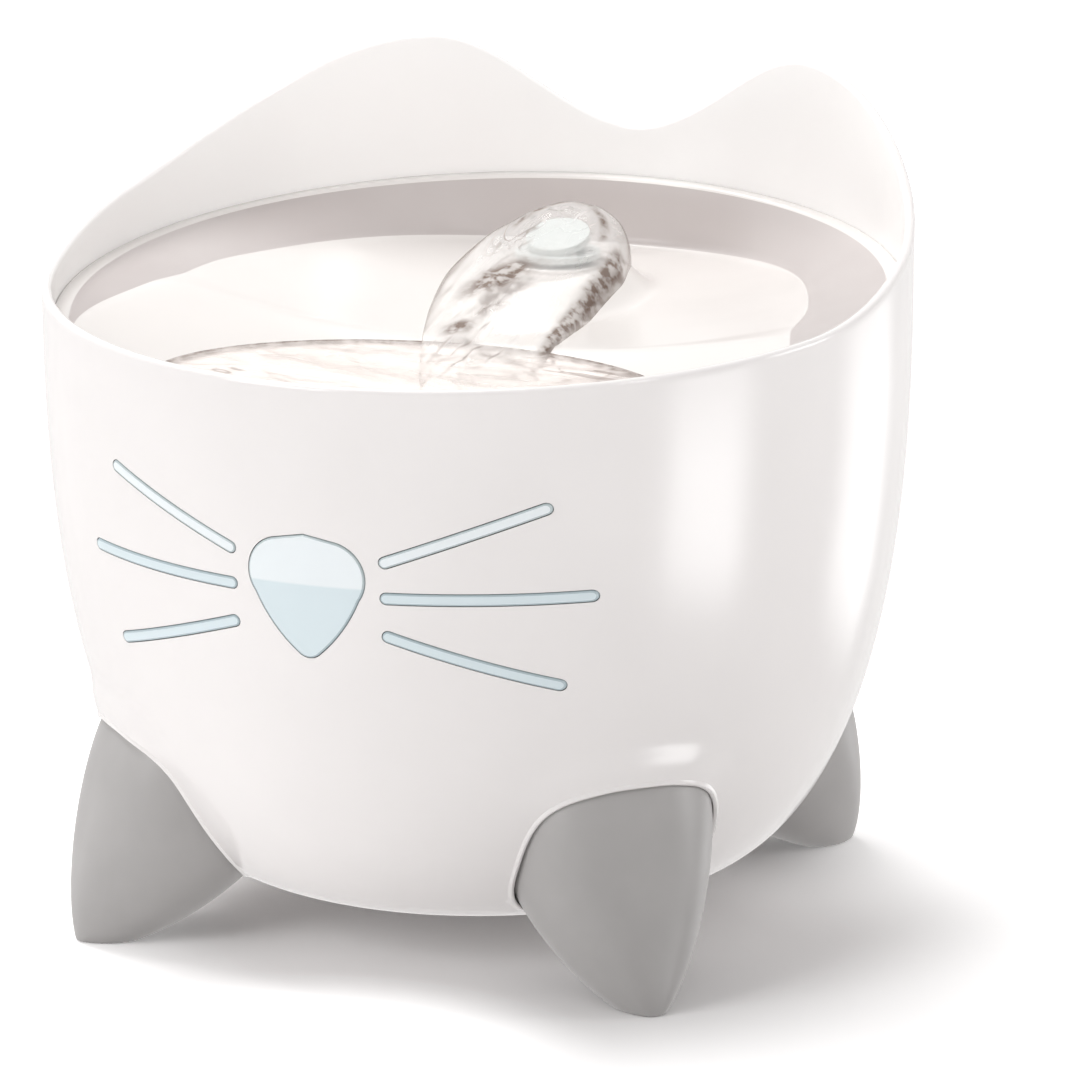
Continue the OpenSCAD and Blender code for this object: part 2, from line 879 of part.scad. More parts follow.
module filter_grille() {
    half_w = pocket_half_w + grille_lap;
    middle_y = (pocket_front_y + pocket_back_y) / 2;
    color("lightgray")
        difference() {
            union() {
                box(
                    [-half_w, pocket_front_y - grille_lap, pan_floor_z + fit],
                    [half_w, pocket_back_y + grille_lap, pan_floor_z + fit + grille_t]
                );
                for (side = [-1, 1])
                    translate([side * (half_w - grip_t) - grip_t / 2, middle_y - grip_l / 2, pan_floor_z + fit])
                        cube([grip_t, grip_l, grille_t + grip_h]);
            }
            translate([0, pocket_front_y, 0])
                slots(2 * (pocket_half_w - slot_edge), pocket_l, 12, pan_floor_z - 1, pan_floor_z + grille_t + 1);
        }
}

frame_half_w = pocket_half_w - lift_gap;
frame_y0 = pocket_front_y + lift_gap;
frame_y1 = pocket_back_y - lift_gap;
frame_z0 = pocket_floor_z + fit;
bed_z0 = frame_z0 + frame_floor_t;

module cartridge_frame() {
    color("darkgray")
        difference() {
            box(
                [-frame_half_w, frame_y0, frame_z0],
                [frame_half_w, frame_y1, pan_floor_z - lift_gap]
            );
            box(
                [-frame_half_w + frame_wall, frame_y0 + frame_wall, bed_z0],
                [frame_half_w - frame_wall, frame_y1 - frame_wall, pan_floor_z + 1]
            );
            translate([0, pocket_front_y, 0])
                slots(2 * (pocket_half_w - slot_edge), pocket_l, 12, frame_z0 - 1, bed_z0 + 1);
        }
}

module cartridge_layer(z0, z1) {
    inset = frame_wall + slide_fit;
    box(
        [-frame_half_w + inset, frame_y0 + inset, z0],
        [frame_half_w - inset, frame_y1 - inset, z1]
    );
}

module resin_bed() {
    color("goldenrod")
        cartridge_layer(bed_z0 + 0.1, bed_z0 + resin_t);
}

module carbon_bed() {
    color("black")
        cartridge_layer(bed_z0 + resin_t + 0.1, bed_z0 + resin_t + carbon_t);
}

module filter_foam() {
    color("lightblue")
        cartridge_layer(bed_z0 + resin_t + carbon_t + 0.1, bed_z0 + resin_t + carbon_t + foam_t);
}

// ---------- Riser and pump ----------

module riser_tube() {
    color("lightgray")
        translate([0, spout_y, 0])
            tube(riser_r, riser_bore_r, pump_z1 + fit, boss_bottom_z - 1.5);
}

module prism_y(y0, y1) {
    translate([0, y1, axis_z])
        rotate([90, 0, 0])
            linear_extrude(height = y1 - y0)
                children();
}

module pump_housing() {
    color("dimgray")
        difference() {
            union() {
                prism_y(motor_y0, chamber_y1)
                    rounded_square(pump_w, pump_h, pump_corner_r);
                translate([0, spout_y, pump_z1 - 1])
                    cylinder(r = outlet_r, h = outlet_h + 1);
            }
            difference() {
                prism_y(motor_y0 - 1, chamber_y0 - pump_wall)
                    rounded_square(pump_w - 2 * pump_wall, pump_h - 2 * pump_wall, pump_corner_r - pump_wall);
                rod_y(well_r + well_wall, bush_y0 - well_wall, chamber_y0);
            }
            rod_y(bush_r + fit / 2, bush_y0, chamber_y0);
            rod_y(well_r, well_y0, chamber_y0 + 1);
            rod_y(chamber_r, chamber_y0, chamber_y1 + 1);
            translate([0, spout_y, axis_z])
                cylinder(r = outlet_bore_r, h = pump_h / 2 + outlet_h + 1);
            for (sx = [-1, 1], y = [cup_y0, cup_y1])
                translate([sx * cup_x, y, pump_z0 - 1])
                    cylinder(r = cup_neck_r + fit / 2, h = cup_neck_l - 0.4 + 1);
        }
}

module pump_end_plate() {
    color("dimgray")
        prism_y(motor_y0 - end_plate_t - fit / 2, motor_y0 - fit / 2)
            rounded_square(pump_w, pump_h, pump_corner_r);
}

leg_x0 = well_r + well_wall + fit;

module core_shape(grow) {
    for (side = [-1, 1])
        mirror([side < 0 ? 1 : 0, 0, 0])
            box(
                [leg_x0 - grow, yoke_y0 - grow, axis_z - core_half_h - grow],
                [leg_x0 + core_t + grow, chamber_y0 - pump_wall - 3 + grow, axis_z + core_half_h + grow]
            );
    box(
        [-leg_x0 - 1, yoke_y0 - grow, axis_z - core_half_h - grow],
        [leg_x0 + 1, yoke_y0 + yoke_t + grow, axis_z + core_half_h + grow]
    );
}

module stator_core() {
    color("slategray")
        core_shape(0);
}

module coil_solid(grow) {
    box(
        [-leg_x0 + 0.6 - grow, yoke_y0 - coil_t - grow, axis_z - core_half_h - coil_t - grow],
        [leg_x0 - 0.6 + grow, yoke_y0 + yoke_t + coil_t + grow, axis_z + core_half_h + coil_t + grow]
    );
}

module stator_coil() {
    color("peru")
        difference() {
            coil_solid(0);
            box(
                [-leg_x0, yoke_y0 - fit / 2, axis_z - core_half_h - fit / 2],
                [leg_x0, yoke_y0 + yoke_t + fit / 2, axis_z + core_half_h + fit / 2]
            );
        }
}

module potting() {
    color("darkslategray")
        difference() {
            prism_y(motor_y0 + fit, chamber_y0 - pump_wall - fit)
                rounded_square(
                    pump_w - 2 * pump_wall - 2 * fit,
                    pump_h - 2 * pump_wall - 2 * fit,
                    pump_corner_r - pump_wall
                );
            rod_y(well_r + well_wall + fit, bush_y0 - well_wall - fit, chamber_y0);
            core_shape(fit / 2);
            coil_solid(fit / 2);
        }
}

module impeller() {
    disc_y0 = chamber_y0 + disc_gap;
    vane_l = chamber_l - vane_room;
    color("white")
        difference() {
            union() {
                rod_y(sleeve_r, well_y0 + rotor_gap, chamber_y1 - sleeve_room);
                rod_y(impeller_r, disc_y0, disc_y0 + disc_t);
                for (i = [0:vane_count - 1])
                    translate([0, 0, axis_z])
                        rotate([0, 360 * i / vane_count, 0])
                            box(
                                [0, disc_y0 + disc_t / 2, -vane_t / 2],
                                [impeller_r - 0.2, disc_y0 + vane_l, vane_t / 2]
                            );
            }
            rod_y(shaft_r + shaft_fit, well_y0 - 1, chamber_y1 + 1);
        }
}

module rotor_magnet() {
    color("gray")
        difference() {
            rod_y(magnet_r, well_y0 + 2 * rotor_gap, chamber_y0 - rotor_gap);
            rod_y(sleeve_r + eps, well_y0, chamber_y0);
        }
}

module impeller_shaft() {
    color("ivory")
        rod_y(shaft_r, bush_y0 + rotor_gap, chamber_y1 + shaft_in_bush);
}

module bush(y0, l, gap) {
    color("black")
        difference() {
            rod_y(bush_r, y0, y0 + l);
            rod_y(shaft_r + gap, y0 - 1, y0 + l + 1);
        }
}

module rear_bush() {
    bush(bush_y0 + fit / 2, bush_l - fit, eps);
}

module front_bush() {
    bush(chamber_y1 - 0.5, 2.8, shaft_fit);
}

module pump_cover() {
    y0 = chamber_y1 + fit / 2;
    arm_x = pump_w / 2 + slide_fit;
    color("dimgray")
        difference() {
            union() {
                prism_y(y0, y0 + cover_t)
                    rounded_square(cover_w, cover_h, 4);
                prism_y(y0, y0 + cover_t)
                    square([2 * arm_x + 3, 8], center = true);
                for (side = [-1, 1])
                    mirror([side < 0 ? 1 : 0, 0, 0])
                        box([arm_x, y0 - arm_l, axis_z - 4], [arm_x + 1.5, y0 + cover_t, axis_z + 4]);
                rod_y(bush_r + 1.5, chamber_y1 - 0.5, y0 + cover_t);
            }
            rod_y(bush_r + fit / 2, chamber_y1 - 1, chamber_y1 + 2.4);
            for (side = [-1, 1], i = [0:1])
                for (sz = [-1, 1])
                    translate([side * (7 + 3.4 * i) - 1, y0 - 1, axis_z + sz * 4.4 - 3.2])
                        cube([2, cover_t + 2, 6.4]);
        }
}

module suction_cup(side, y) {
    color("whitesmoke")
        translate([side * cup_x, y, floor_z])
            rotate_extrude()
                polygon([
                    [0, 0.8], [cup_r - 1.2, eps], [cup_r, eps], [cup_r, 0.7], [cup_neck_r + 0.8, 2.6],
                    [cup_neck_r + 0.8, cup_h - fit], [cup_neck_r, cup_h - fit],
                    [cup_neck_r, cup_h + cup_neck_l - 0.6], [0, cup_h + cup_neck_l - 0.6],
                ]);
}

// ---------- Assembly ----------

tank_shell();
nose_window();
whisker_window(-1, 0);  // whisker_left_top
whisker_window(-1, 1);  // whisker_left_middle
whisker_window(-1, 2);  // whisker_left_bottom
whisker_window(1, 0);  // whisker_right_top
whisker_window(1, 1);  // whisker_right_middle
whisker_window(1, 2);  // whisker_right_bottom
at_angle(-foot_front_angle) foot();  // foot_front_left
at_angle(foot_front_angle) foot();  // foot_front_right
at_angle(-foot_rear_angle) foot();  // foot_rear_left
at_angle(foot_rear_angle) foot();  // foot_rear_right
cord_gland();
drinking_dish();
spout_nozzle();
spout_seal();
filter_pan();
filter_grille();
cartridge_frame();
filter_foam();
carbon_bed();
resin_bed();
riser_tube();
pump_housing();
pump_end_plate();
stator_core();
stator_coil();
potting();
impeller();
rotor_magnet();
impeller_shaft();
rear_bush();
front_bush();
pump_cover();
suction_cup(-1, cup_y0);  // suction_cup_front_left
suction_cup(1, cup_y0);  // suction_cup_front_right
suction_cup(-1, cup_y1);  // suction_cup_rear_left
suction_cup(1, cup_y1);  // suction_cup_rear_right
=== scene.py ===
"""Looks of a pet water fountain: an eared tank on four feet, with a dish, a spout and running water."""

import logging
import math
from dataclasses import dataclass, field
from enum import Enum
from functools import partial
from typing import Callable, Iterable, Sequence

import bmesh
import bpy
import numpy as np
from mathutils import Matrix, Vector
from mathutils.geometry import delaunay_2d_cdt

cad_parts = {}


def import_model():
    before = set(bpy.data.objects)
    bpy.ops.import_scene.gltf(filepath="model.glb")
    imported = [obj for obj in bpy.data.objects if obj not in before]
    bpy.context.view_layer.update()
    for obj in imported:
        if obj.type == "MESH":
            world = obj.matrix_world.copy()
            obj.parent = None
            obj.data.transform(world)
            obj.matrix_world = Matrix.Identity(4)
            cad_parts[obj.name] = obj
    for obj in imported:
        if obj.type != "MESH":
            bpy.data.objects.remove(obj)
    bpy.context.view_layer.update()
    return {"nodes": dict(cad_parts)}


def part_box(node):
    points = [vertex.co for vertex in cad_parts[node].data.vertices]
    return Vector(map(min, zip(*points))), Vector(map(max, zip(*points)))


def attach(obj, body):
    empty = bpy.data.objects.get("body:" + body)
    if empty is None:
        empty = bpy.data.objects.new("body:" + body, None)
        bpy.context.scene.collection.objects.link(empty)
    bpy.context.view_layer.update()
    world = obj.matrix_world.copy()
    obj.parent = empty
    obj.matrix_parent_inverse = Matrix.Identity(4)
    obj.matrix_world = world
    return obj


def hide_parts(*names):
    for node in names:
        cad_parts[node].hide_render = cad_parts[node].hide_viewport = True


log = logging.getLogger("fountain")

Array = np.ndarray
Point = tuple[float, float, float]
Tree = bpy.types.NodeTree
Socket = bpy.types.NodeSocket
MM = 0.001
PER_M = 1000
WELD = 2e-6
SLIVER = 1e-7


class Body(str, Enum):
    """The moving bodies that pieces ride on."""

    TANK = "tank"
    DISH = "dish"
    CARTRIDGE = "cartridge"


# ---------- Small sums ----------


def smooth(value: Array | float) -> Array:
    """Eases 0..1 with level ends."""
    share = np.clip(value, 0.0, 1.0)
    return share * share * (3.0 - 2.0 * share)


def bell(value: Array) -> Array:
    """Gives a soft hump, 1 at 0."""
    return np.exp(-(value**2))


def blot(x: Array, y: Array, middle: tuple[float, float], reach: tuple[float, float]) -> Array:
    """Gives a soft oval patch, 1 in its middle."""
    return np.exp(-(((x - middle[0]) / reach[0]) ** 2) - ((y - middle[1]) / reach[1]) ** 2)


def signed_power(value: Array, power: float) -> Array:
    """Raises the size of a value to a power and keeps its sign."""
    return np.sign(value) * np.abs(value) ** power


def wrapped(angle: Array) -> Array:
    """Brings angles in degrees between -180 and 180."""
    return (angle + 180.0) % 360.0 - 180.0


def polar(radius: Array | float, angle: Array | float, z: Array | float) -> Array:
    """Turns a radius, an angle in degrees from the front and a height into points."""
    turn = np.radians(angle)
    return np.stack(np.broadcast_arrays(radius * np.sin(turn), -radius * np.cos(turn), z), -1).astype(float)


def front_angle(points: Array) -> Array:
    """Gives the angle of points from the front, in degrees."""
    return np.degrees(np.arctan2(points[:, 0], -points[:, 1]))


def ring_angles(count: int, start: float = 0.0) -> Array:
    """Gives evenly spaced angles once round."""
    return start + 360.0 * np.arange(count) / count


def turned(points: Array, angle: float) -> Array:
    """Turns points made for the front to an angle round the tank.

    Args:
        points: Points, in rows of three.
        angle: The angle in degrees.

    Returns:
        The turned points.
    """
    turn = math.radians(angle)
    c, s = math.cos(turn), math.sin(turn)
    x, y, z = points[..., 0], points[..., 1], points[..., 2]
    return np.stack([x * c - y * s, x * s + y * c, z], axis=-1)


def inside(points: Array, loop: Array) -> Array:
    """Says which 2-D points lie in a closed loop.

    Args:
        points: Points, one row each.
        loop: The loop's corners, one row each.

    Returns:
        One truth value for each point.
    """
    x, y = points[:, 0], points[:, 1]
    hit = np.zeros(len(points), bool)
    for (x0, y0), (x1, y1) in zip(loop, np.roll(loop, -1, axis=0)):
        if y0 != y1:
            hit ^= ((y0 > y) != (y1 > y)) & (x < (x1 - x0) * (y - y0) / (y1 - y0) + x0)
    return hit


def gap_to(points: Array, others: Array) -> Array:
    """Gives each point's distance from the nearest of some others."""
    return np.sqrt(((points[:, None] - others[None]) ** 2).sum(-1)).min(1)


# ---------- The tank's form ----------


@dataclass(frozen=True)
class TankForm:
    """The rules shared by the tank, its windows, feet and water, in millimetres and degrees."""

    belly_r: float = 52.6
    rim_r: float = 108.0
    base_z: float = 12.3
    rim_z: float = 162.2
    rim_slope: float = 0.061
    power: float = 2.5
    fullness: float = 0.44
    wall: float = 2.5
    floor_t: float = 3.0
    ear_angle: float = 150.0
    ear_front: float = 50.0
    ear_back: float = 30.0
    ear_h: float = 23.7
    back_rise: float = 10.0
    back_from: float = 70.0
    back_run: float = 45.0
    foot_angles: tuple[float, ...] = (45.9, -45.9, 138.0, -138.0)
    seat_z: float = 36.5
    seat_inset: float = 8.0
    seat_a: float = 25.1
    seat_b: float = 24.9
    seat_tilt: float = 48.0
    seat_power: float = 0.78
    hip_proud: float = 2.1
    hip_width: float = 0.36
    hip_reach: float = 64.0
    hip_fade: float = 40.0
    hip_power: float = 1.3

    @property
    def rise(self) -> float:
        """Height of the rim's plane over the base."""
        return self.rim_z - self.base_z

    @property
    def seat_r(self) -> float:
        """Distance of a seat's middle from the tank's axis."""
        return float(self.belly(self.seat_z)) - self.seat_inset

    @property
    def seat_middle(self) -> Array:
        """Middle of a front seat."""
        return np.array([0.0, -self.seat_r, self.seat_z])

    @property
    def seat_normal(self) -> Array:
        """Direction out of a front seat."""
        tilt = math.radians(self.seat_tilt)
        return np.array([0.0, -math.sin(tilt), -math.cos(tilt)])

    def belly(self, z: Array | float) -> Array:
        """Gives the belly's outer radius at a height."""
        share = np.clip((np.asarray(z, float) - self.base_z) / self.rise, 0.0, 1.0)
        return self.belly_r + (self.rim_r - self.belly_r) * (1 - (1 - share) ** self.power) ** self.fullness

    def bore(self, z: Array | float) -> Array:
        """Gives the radius of the wall's inner face at a height."""
        return self.belly(z - self.floor_t) - self.wall

    def rim(self, angle: Array) -> Array:
        """Gives the rim's height, which rises over the back and the two ears.

        Args:
            angle: Angles from the front, in degrees.

        Returns:
            The height at each angle.
        """
        a = np.abs(wrapped(angle))
        front = (a - self.ear_angle + self.ear_front) / self.ear_front
        flank = np.where(a < self.ear_angle, front, (180 - a) / self.ear_back)
        ear = self.ear_h * (1 - np.cos(math.pi * np.clip(flank, 0, 1))) / 2
        back = self.back_rise * smooth((a - self.back_from) / self.back_run)
        return self.rim_z - self.rim_slope * self.rim_r * np.cos(np.radians(a)) + back + ear

    def hip(self, angle: Array, z: Array) -> Array:
        """Gives how far the skin swells over the feet.

        Args:
            angle: Angles from the front, in degrees.
            z: Heights.

        Returns:
            The swelling, in millimetres, at each point.
        """
        radius = self.belly(z)
        power = 2 / self.seat_power
        tilt = math.radians(self.seat_tilt)
        total = np.zeros(np.broadcast(angle, z).shape)
        for foot in self.foot_angles:
            turn = np.radians(wrapped(angle - foot))
            across = radius * np.sin(turn) / self.seat_b
            out = radius * np.cos(turn)
            slant = (out - self.seat_r) * math.cos(tilt) + (z - self.seat_z) * math.sin(tilt)
            along = slant / self.seat_a
            away = (np.abs(across) ** power + np.abs(along) ** power) ** (1 / power)
            share = np.clip((away - 1) / self.hip_width, 0, 1)
            side = np.degrees(np.abs(np.arctan2(across, along)))
            fade = smooth((self.hip_reach - side) / self.hip_fade)
            swell = self.hip_proud * (1 - share**2) ** self.hip_power * fade
            total = np.maximum(total, np.where(out > 0, swell, 0))
        return total

    def seat_point(self, phi: Array, scale: Array | float, out: float, z: float) -> Array:
        """Gives points of a seat's outline, for a foot at the front.

        Args:
            phi: Angles round the outline, 0 at its top.
            scale: Share of the full outline.
            out: Distance of the outline's middle from the axis.
            z: Height of the outline's middle.

        Returns:
            Points in millimetres.
        """
        turn, tilt = np.radians(phi), math.radians(self.seat_tilt)
        along = scale * self.seat_a * signed_power(np.cos(turn), self.seat_power)
        across = scale * self.seat_b * signed_power(np.sin(turn), self.seat_power)
        return np.stack([across, -out - along * math.cos(tilt), z + along * math.sin(tilt)], axis=-1)


FORM = TankForm()


# ---------- Mesh maker ----------


def stand(
    name: str, data: bpy.types.ID, place: Point = (0, 0, 0), aim: Point | None = None
) -> bpy.types.Object:
    """Puts data into the scene as an object.

    Args:
        name: The object's name.
        data: Its mesh, light or camera.
        place: Where it stands, in millimetres.
        aim: A point that it faces, if any.

    Returns:
        The object.
    """
    thing = bpy.data.objects.new(name, data)
    thing.location = Vector(place) * MM
    if aim is not None:
        thing.rotation_euler = (Vector(aim) * MM - thing.location).to_track_quat("-Z", "Y").to_euler()
    bpy.context.scene.collection.objects.link(thing)
    return thing


class Mesher:
    """Collects points and faces in millimetres and turns them into an object."""

    def __init__(self) -> None:
        """Starts empty."""
        self.points: list[Array] = []
        self.faces: list[tuple[int, ...]] = []
        self.tones: list[int] = []
        self.tone = 0
        self.count = 0

    def add(self, points: Array) -> Array:
        """Adds points.

        Args:
            points: Points, in rows of three.

        Returns:
            Their numbers in the same layout.
        """
        flat = np.asarray(points, float).reshape(-1, 3)
        self.points.append(flat)
        numbers = np.arange(self.count, self.count + len(flat))
        self.count += len(flat)
        return numbers.reshape(np.asarray(points).shape[:-1])

    def ring(self, radius: Array | float, angle: Array, z: Array | float) -> Array:
        """Adds a ring about the tank's axis and gives its numbers."""
        return self.add(polar(radius, angle, z))

    def face(self, *corners: int) -> None:
        """Adds one face."""
        self.faces.append(tuple(int(c) for c in corners))
        self.tones.append(self.tone)

    def bridge(self, low: Array, high: Array, closed: bool = True) -> None:
        """Joins two rows of points by quads.

        Args:
            low: The numbers of one row.
            high: The numbers of the other.
            closed: Whether the rows run round.
        """
        n = len(low)
        for i in range(n if closed else n - 1):
            k = (i + 1) % n
            self.face(low[i], low[k], high[k], high[i])

    def rows(self, rows: Sequence[Array], closed: bool = True) -> None:
        """Joins each row to the next."""
        for low, high in zip(rows, rows[1:]):
            self.bridge(low, high, closed)

    def fan(self, ring: Array, pole: Sequence[float]) -> None:
        """Closes a ring by a fan.

        Args:
            ring: The numbers of the ring's points.
            pole: The point that the fan meets in.
        """
        middle = int(self.add(np.asarray(pole, float)))
        for i in range(len(ring)):
            self.face(ring[i], ring[(i + 1) % len(ring)], middle)

    def fill(self, ring: Array, flat: Array, spacing: float, place: Callable[[Array], Array]) -> None:
        """Fills a ring with triangles that follow a surface.

        Args:
            ring: The numbers of the ring's points.
            flat: The ring in its own 2-D outline.
            spacing: Distance between the points added inside.
            place: Gives the 3-D points of 2-D ones.
        """
        axes = [np.arange(a + spacing / 2, b, spacing) for a, b in zip(flat.min(0), flat.max(0))]
        grid = np.stack(np.meshgrid(*axes), axis=-1).reshape(-1, 2)
        numbers, spots = ring, flat
        if len(grid):
            grid = grid[inside(grid, flat) & (gap_to(grid, flat) > spacing * 0.55)]
            numbers = np.concatenate([ring, self.add(place(grid))]).astype(int)
            spots = np.concatenate([flat, grid])
        n = len(flat)
        self.triangles(spots, numbers, [(i, (i + 1) % n) for i in range(n)], lambda c: inside(c, flat))

    def triangles(
        self, spots: Array, numbers: Array, edges: list[tuple[int, int]], keep: Callable[[Array], Array]
    ) -> None:
        """Adds the triangles between 2-D spots that pass a test.

        Args:
            spots: 2-D places.
            numbers: The mesh point of each spot.
            edges: Pairs of spots that stay joined.
            keep: Says which triangles, by their middles, are kept.
        """
        made, _, faces, origin, _, _ = delaunay_2d_cdt([Vector(s) for s in spots], edges, [], 0, SLIVER)
        place = np.array([tuple(v) for v in made])
        middles = np.array([place[list(f)].mean(0) for f in faces])
        for face, good in zip(faces, keep(middles)):
            if good:
                self.face(*(numbers[origin[c][0]] for c in face))

    def mesh(self, name: str) -> bpy.types.Mesh:
        """Makes the bare mesh."""
        mesh = bpy.data.meshes.new(name)
        mesh.from_pydata((np.concatenate(self.points) * MM).tolist(), [], self.faces)
        return mesh

    def build(self, name: str, finishes: Sequence["Finish"], sharp: float) -> bpy.types.Object:
        """Makes the object.

        Args:
            name: The object's name.
            finishes: One finish for each tone used.
            sharp: Edges over this angle, in degrees, stay sharp.

        Returns:
            The object, with outward faces and closed seams.
        """
        mesh = self.mesh(name)
        mesh.polygons.foreach_set("material_index", self.tones)
        work = bmesh.new()
        work.from_mesh(mesh)
        bmesh.ops.remove_doubles(work, verts=work.verts, dist=WELD)
        bmesh.ops.dissolve_degenerate(work, edges=work.edges, dist=SLIVER)
        bmesh.ops.recalc_face_normals(work, faces=work.faces)
        work.to_mesh(mesh)
        work.free()
        mesh.shade_smooth()
        mesh.set_sharp_from_angle(angle=math.radians(sharp))
        for finish in finishes:
            mesh.materials.append(finish.material())
        return stand(name, mesh)


# ---------- Node trees ----------


def linear(code: str) -> tuple[float, float, float, float]:
    """Turns an sRGB hex colour into linear light."""
    parts = [int(code[i : i + 2], 16) / 255 for i in (1, 3, 5)]
    return (*[p / 12.92 if p <= 0.04045 else ((p + 0.055) / 1.055) ** 2.4 for p in parts], 1.0)


def node(tree: Tree, kind: str, inputs: dict | None = None, **settings: object) -> bpy.types.Node:
    """Adds a node with its settings and links.

    Args:
        tree: The node tree.
        kind: The node's type.
        inputs: Input name or number to a value, or to a socket that feeds it.
        settings: Properties of the node.

    Returns:
        The new node.
    """
    made = tree.nodes.new(kind)
    for key, value in settings.items():
        setattr(made, key, value)
    for key, value in (inputs or {}).items():
        if isinstance(value, bpy.types.NodeSocket):
            tree.links.new(value, made.inputs[key])
        else:
            made.inputs[key].default_value = value
    return made


def sums(tree: Tree, operation: str, one: "Socket | float", other: "Socket | float" = 0.5) -> Socket:
    """Adds a sum of one or two values and gives its result."""
    return node(tree, "ShaderNodeMath", {0: one, 1: other}, operation=operation).outputs[0]


def ramp(
    tree: Tree, value: Socket, start: float, end: float, low: float = 0.0, high: float = 1.0,
    soft: bool = False
) -> Socket:
    """Maps a value from one range to another.

    Args:
        tree: The node tree.
        value: The value.
        start: Where the range starts.
        end: Where it ends.
        low: The result at its start.
        high: The result at its end.
        soft: Whether both ends are level.

    Returns:
        The result.
    """
    span = {"Value": value, "From Min": start, "From Max": end, "To Min": low, "To Max": high}
    shape = "SMOOTHSTEP" if soft else "LINEAR"
    return node(tree, "ShaderNodeMapRange", span, interpolation_type=shape).outputs["Result"]


def noise(tree: Tree, place: Socket, scale: float, detail: float, **inputs: float) -> Socket:
    """Adds a noise and gives its value."""
    inputs = {"Vector": place, "Scale": scale, "Detail": detail, **inputs}
    return node(tree, "ShaderNodeTexNoise", inputs).outputs["Fac"]


def mixed(tree: Tree, share: Socket, one: str, other: str) -> Socket:
    """Mixes two hex colours by a share and gives the colour."""
    inputs = {"Factor": share, "A": linear(one), "B": linear(other)}
    return node(tree, "ShaderNodeMix", inputs, data_type="RGBA").outputs["Result"]


def bare_material(name: str) -> tuple[bpy.types.Material, Tree]:
    """Makes a material without nodes.

    Args:
        name: The material's name.

    Returns:
        The material and its empty tree.
    """
    made = bpy.data.materials.new(name)
    made.use_nodes = True
    made.node_tree.nodes.clear()
    return made, made.node_tree


def cover(tree: Tree, surface: Socket) -> None:
    """Sends a shader to the material's surface."""
    node(tree, "ShaderNodeOutputMaterial", {"Surface": surface})


# ---------- Finishes ----------


@dataclass(frozen=True)
class Finish:
    """A moulded or machined surface: two close tones in soft patches, with a fine grain."""

    name: str
    colour: str
    other: str
    roughness: float = 0.35
    metallic: float = 0.0
    ior: float = 1.5
    patch_mm: float = 40.0
    grain_mm: float = 0.5
    grain: float = 0.02
    rough_swing: float = 0.04
    coat: float = 0.0
    coat_roughness: float = 0.08
    transmission: float = 0.0

    def material(self) -> bpy.types.Material:
        """Gives the material, made once."""
        return bpy.data.materials.get(self.name) or self.make()

    def make(self) -> bpy.types.Material:
        """Builds the nodes.

        Returns:
            The new material.
        """
        made, tree = bare_material(self.name)
        place = node(tree, "ShaderNodeTexCoord").outputs["Object"]
        shader = node(
            tree,
            "ShaderNodeBsdfPrincipled",
            {
                "Base Color": self.tone(tree, place),
                "Roughness": self.polish(tree, place),
                "Normal": self.relief(tree, place),
                "Metallic": self.metallic,
                "IOR": self.ior,
                "Coat Weight": self.coat,
                "Coat Roughness": self.coat_roughness,
                "Transmission Weight": self.transmission,
            },
        )
        cover(tree, shader.outputs["BSDF"])
        return made

    def tone(self, tree: Tree, place: Socket) -> Socket:
        """Mixes the two tones in patches."""
        share = ramp(tree, noise(tree, place, PER_M / self.patch_mm, 3.0), 0.35, 0.65)
        return mixed(tree, share, self.colour, self.other)

    def polish(self, tree: Tree, place: Socket) -> Socket:
        """Varies the roughness a little."""
        low, high = max(0.0, self.roughness - self.rough_swing), self.roughness + self.rough_swing
        return ramp(tree, noise(tree, place, 1.8 * PER_M / self.patch_mm, 4.0), 0.3, 0.7, low, high)

    def relief(self, tree: Tree, place: Socket) -> Socket:
        """Gives the fine grain's normals."""
        height = noise(tree, place, PER_M / self.grain_mm, 2.0)
        inputs = {"Height": height, "Strength": self.grain, "Distance": 0.2 * MM}
        return node(tree, "ShaderNodeBump", inputs).outputs["Normal"]


@dataclass(frozen=True)
class Window(Finish):
    """Clear moulded polystyrene with tinted depth; below the water line it takes the water's blue."""

    wet: str = "#CFE3EA"
    water_mm: float = 107.0
    blend_mm: float = 0.3

    def tone(self, tree: Tree, place: Socket) -> Socket:
        """Blends the wet tone to the dry one at the water line."""
        height = node(tree, "ShaderNodeSeparateXYZ", {"Vector": place}).outputs["Z"]
        low, high = (self.water_mm - self.blend_mm) * MM, (self.water_mm + self.blend_mm) * MM
        return mixed(tree, ramp(tree, height, low, high), self.wet, self.colour)


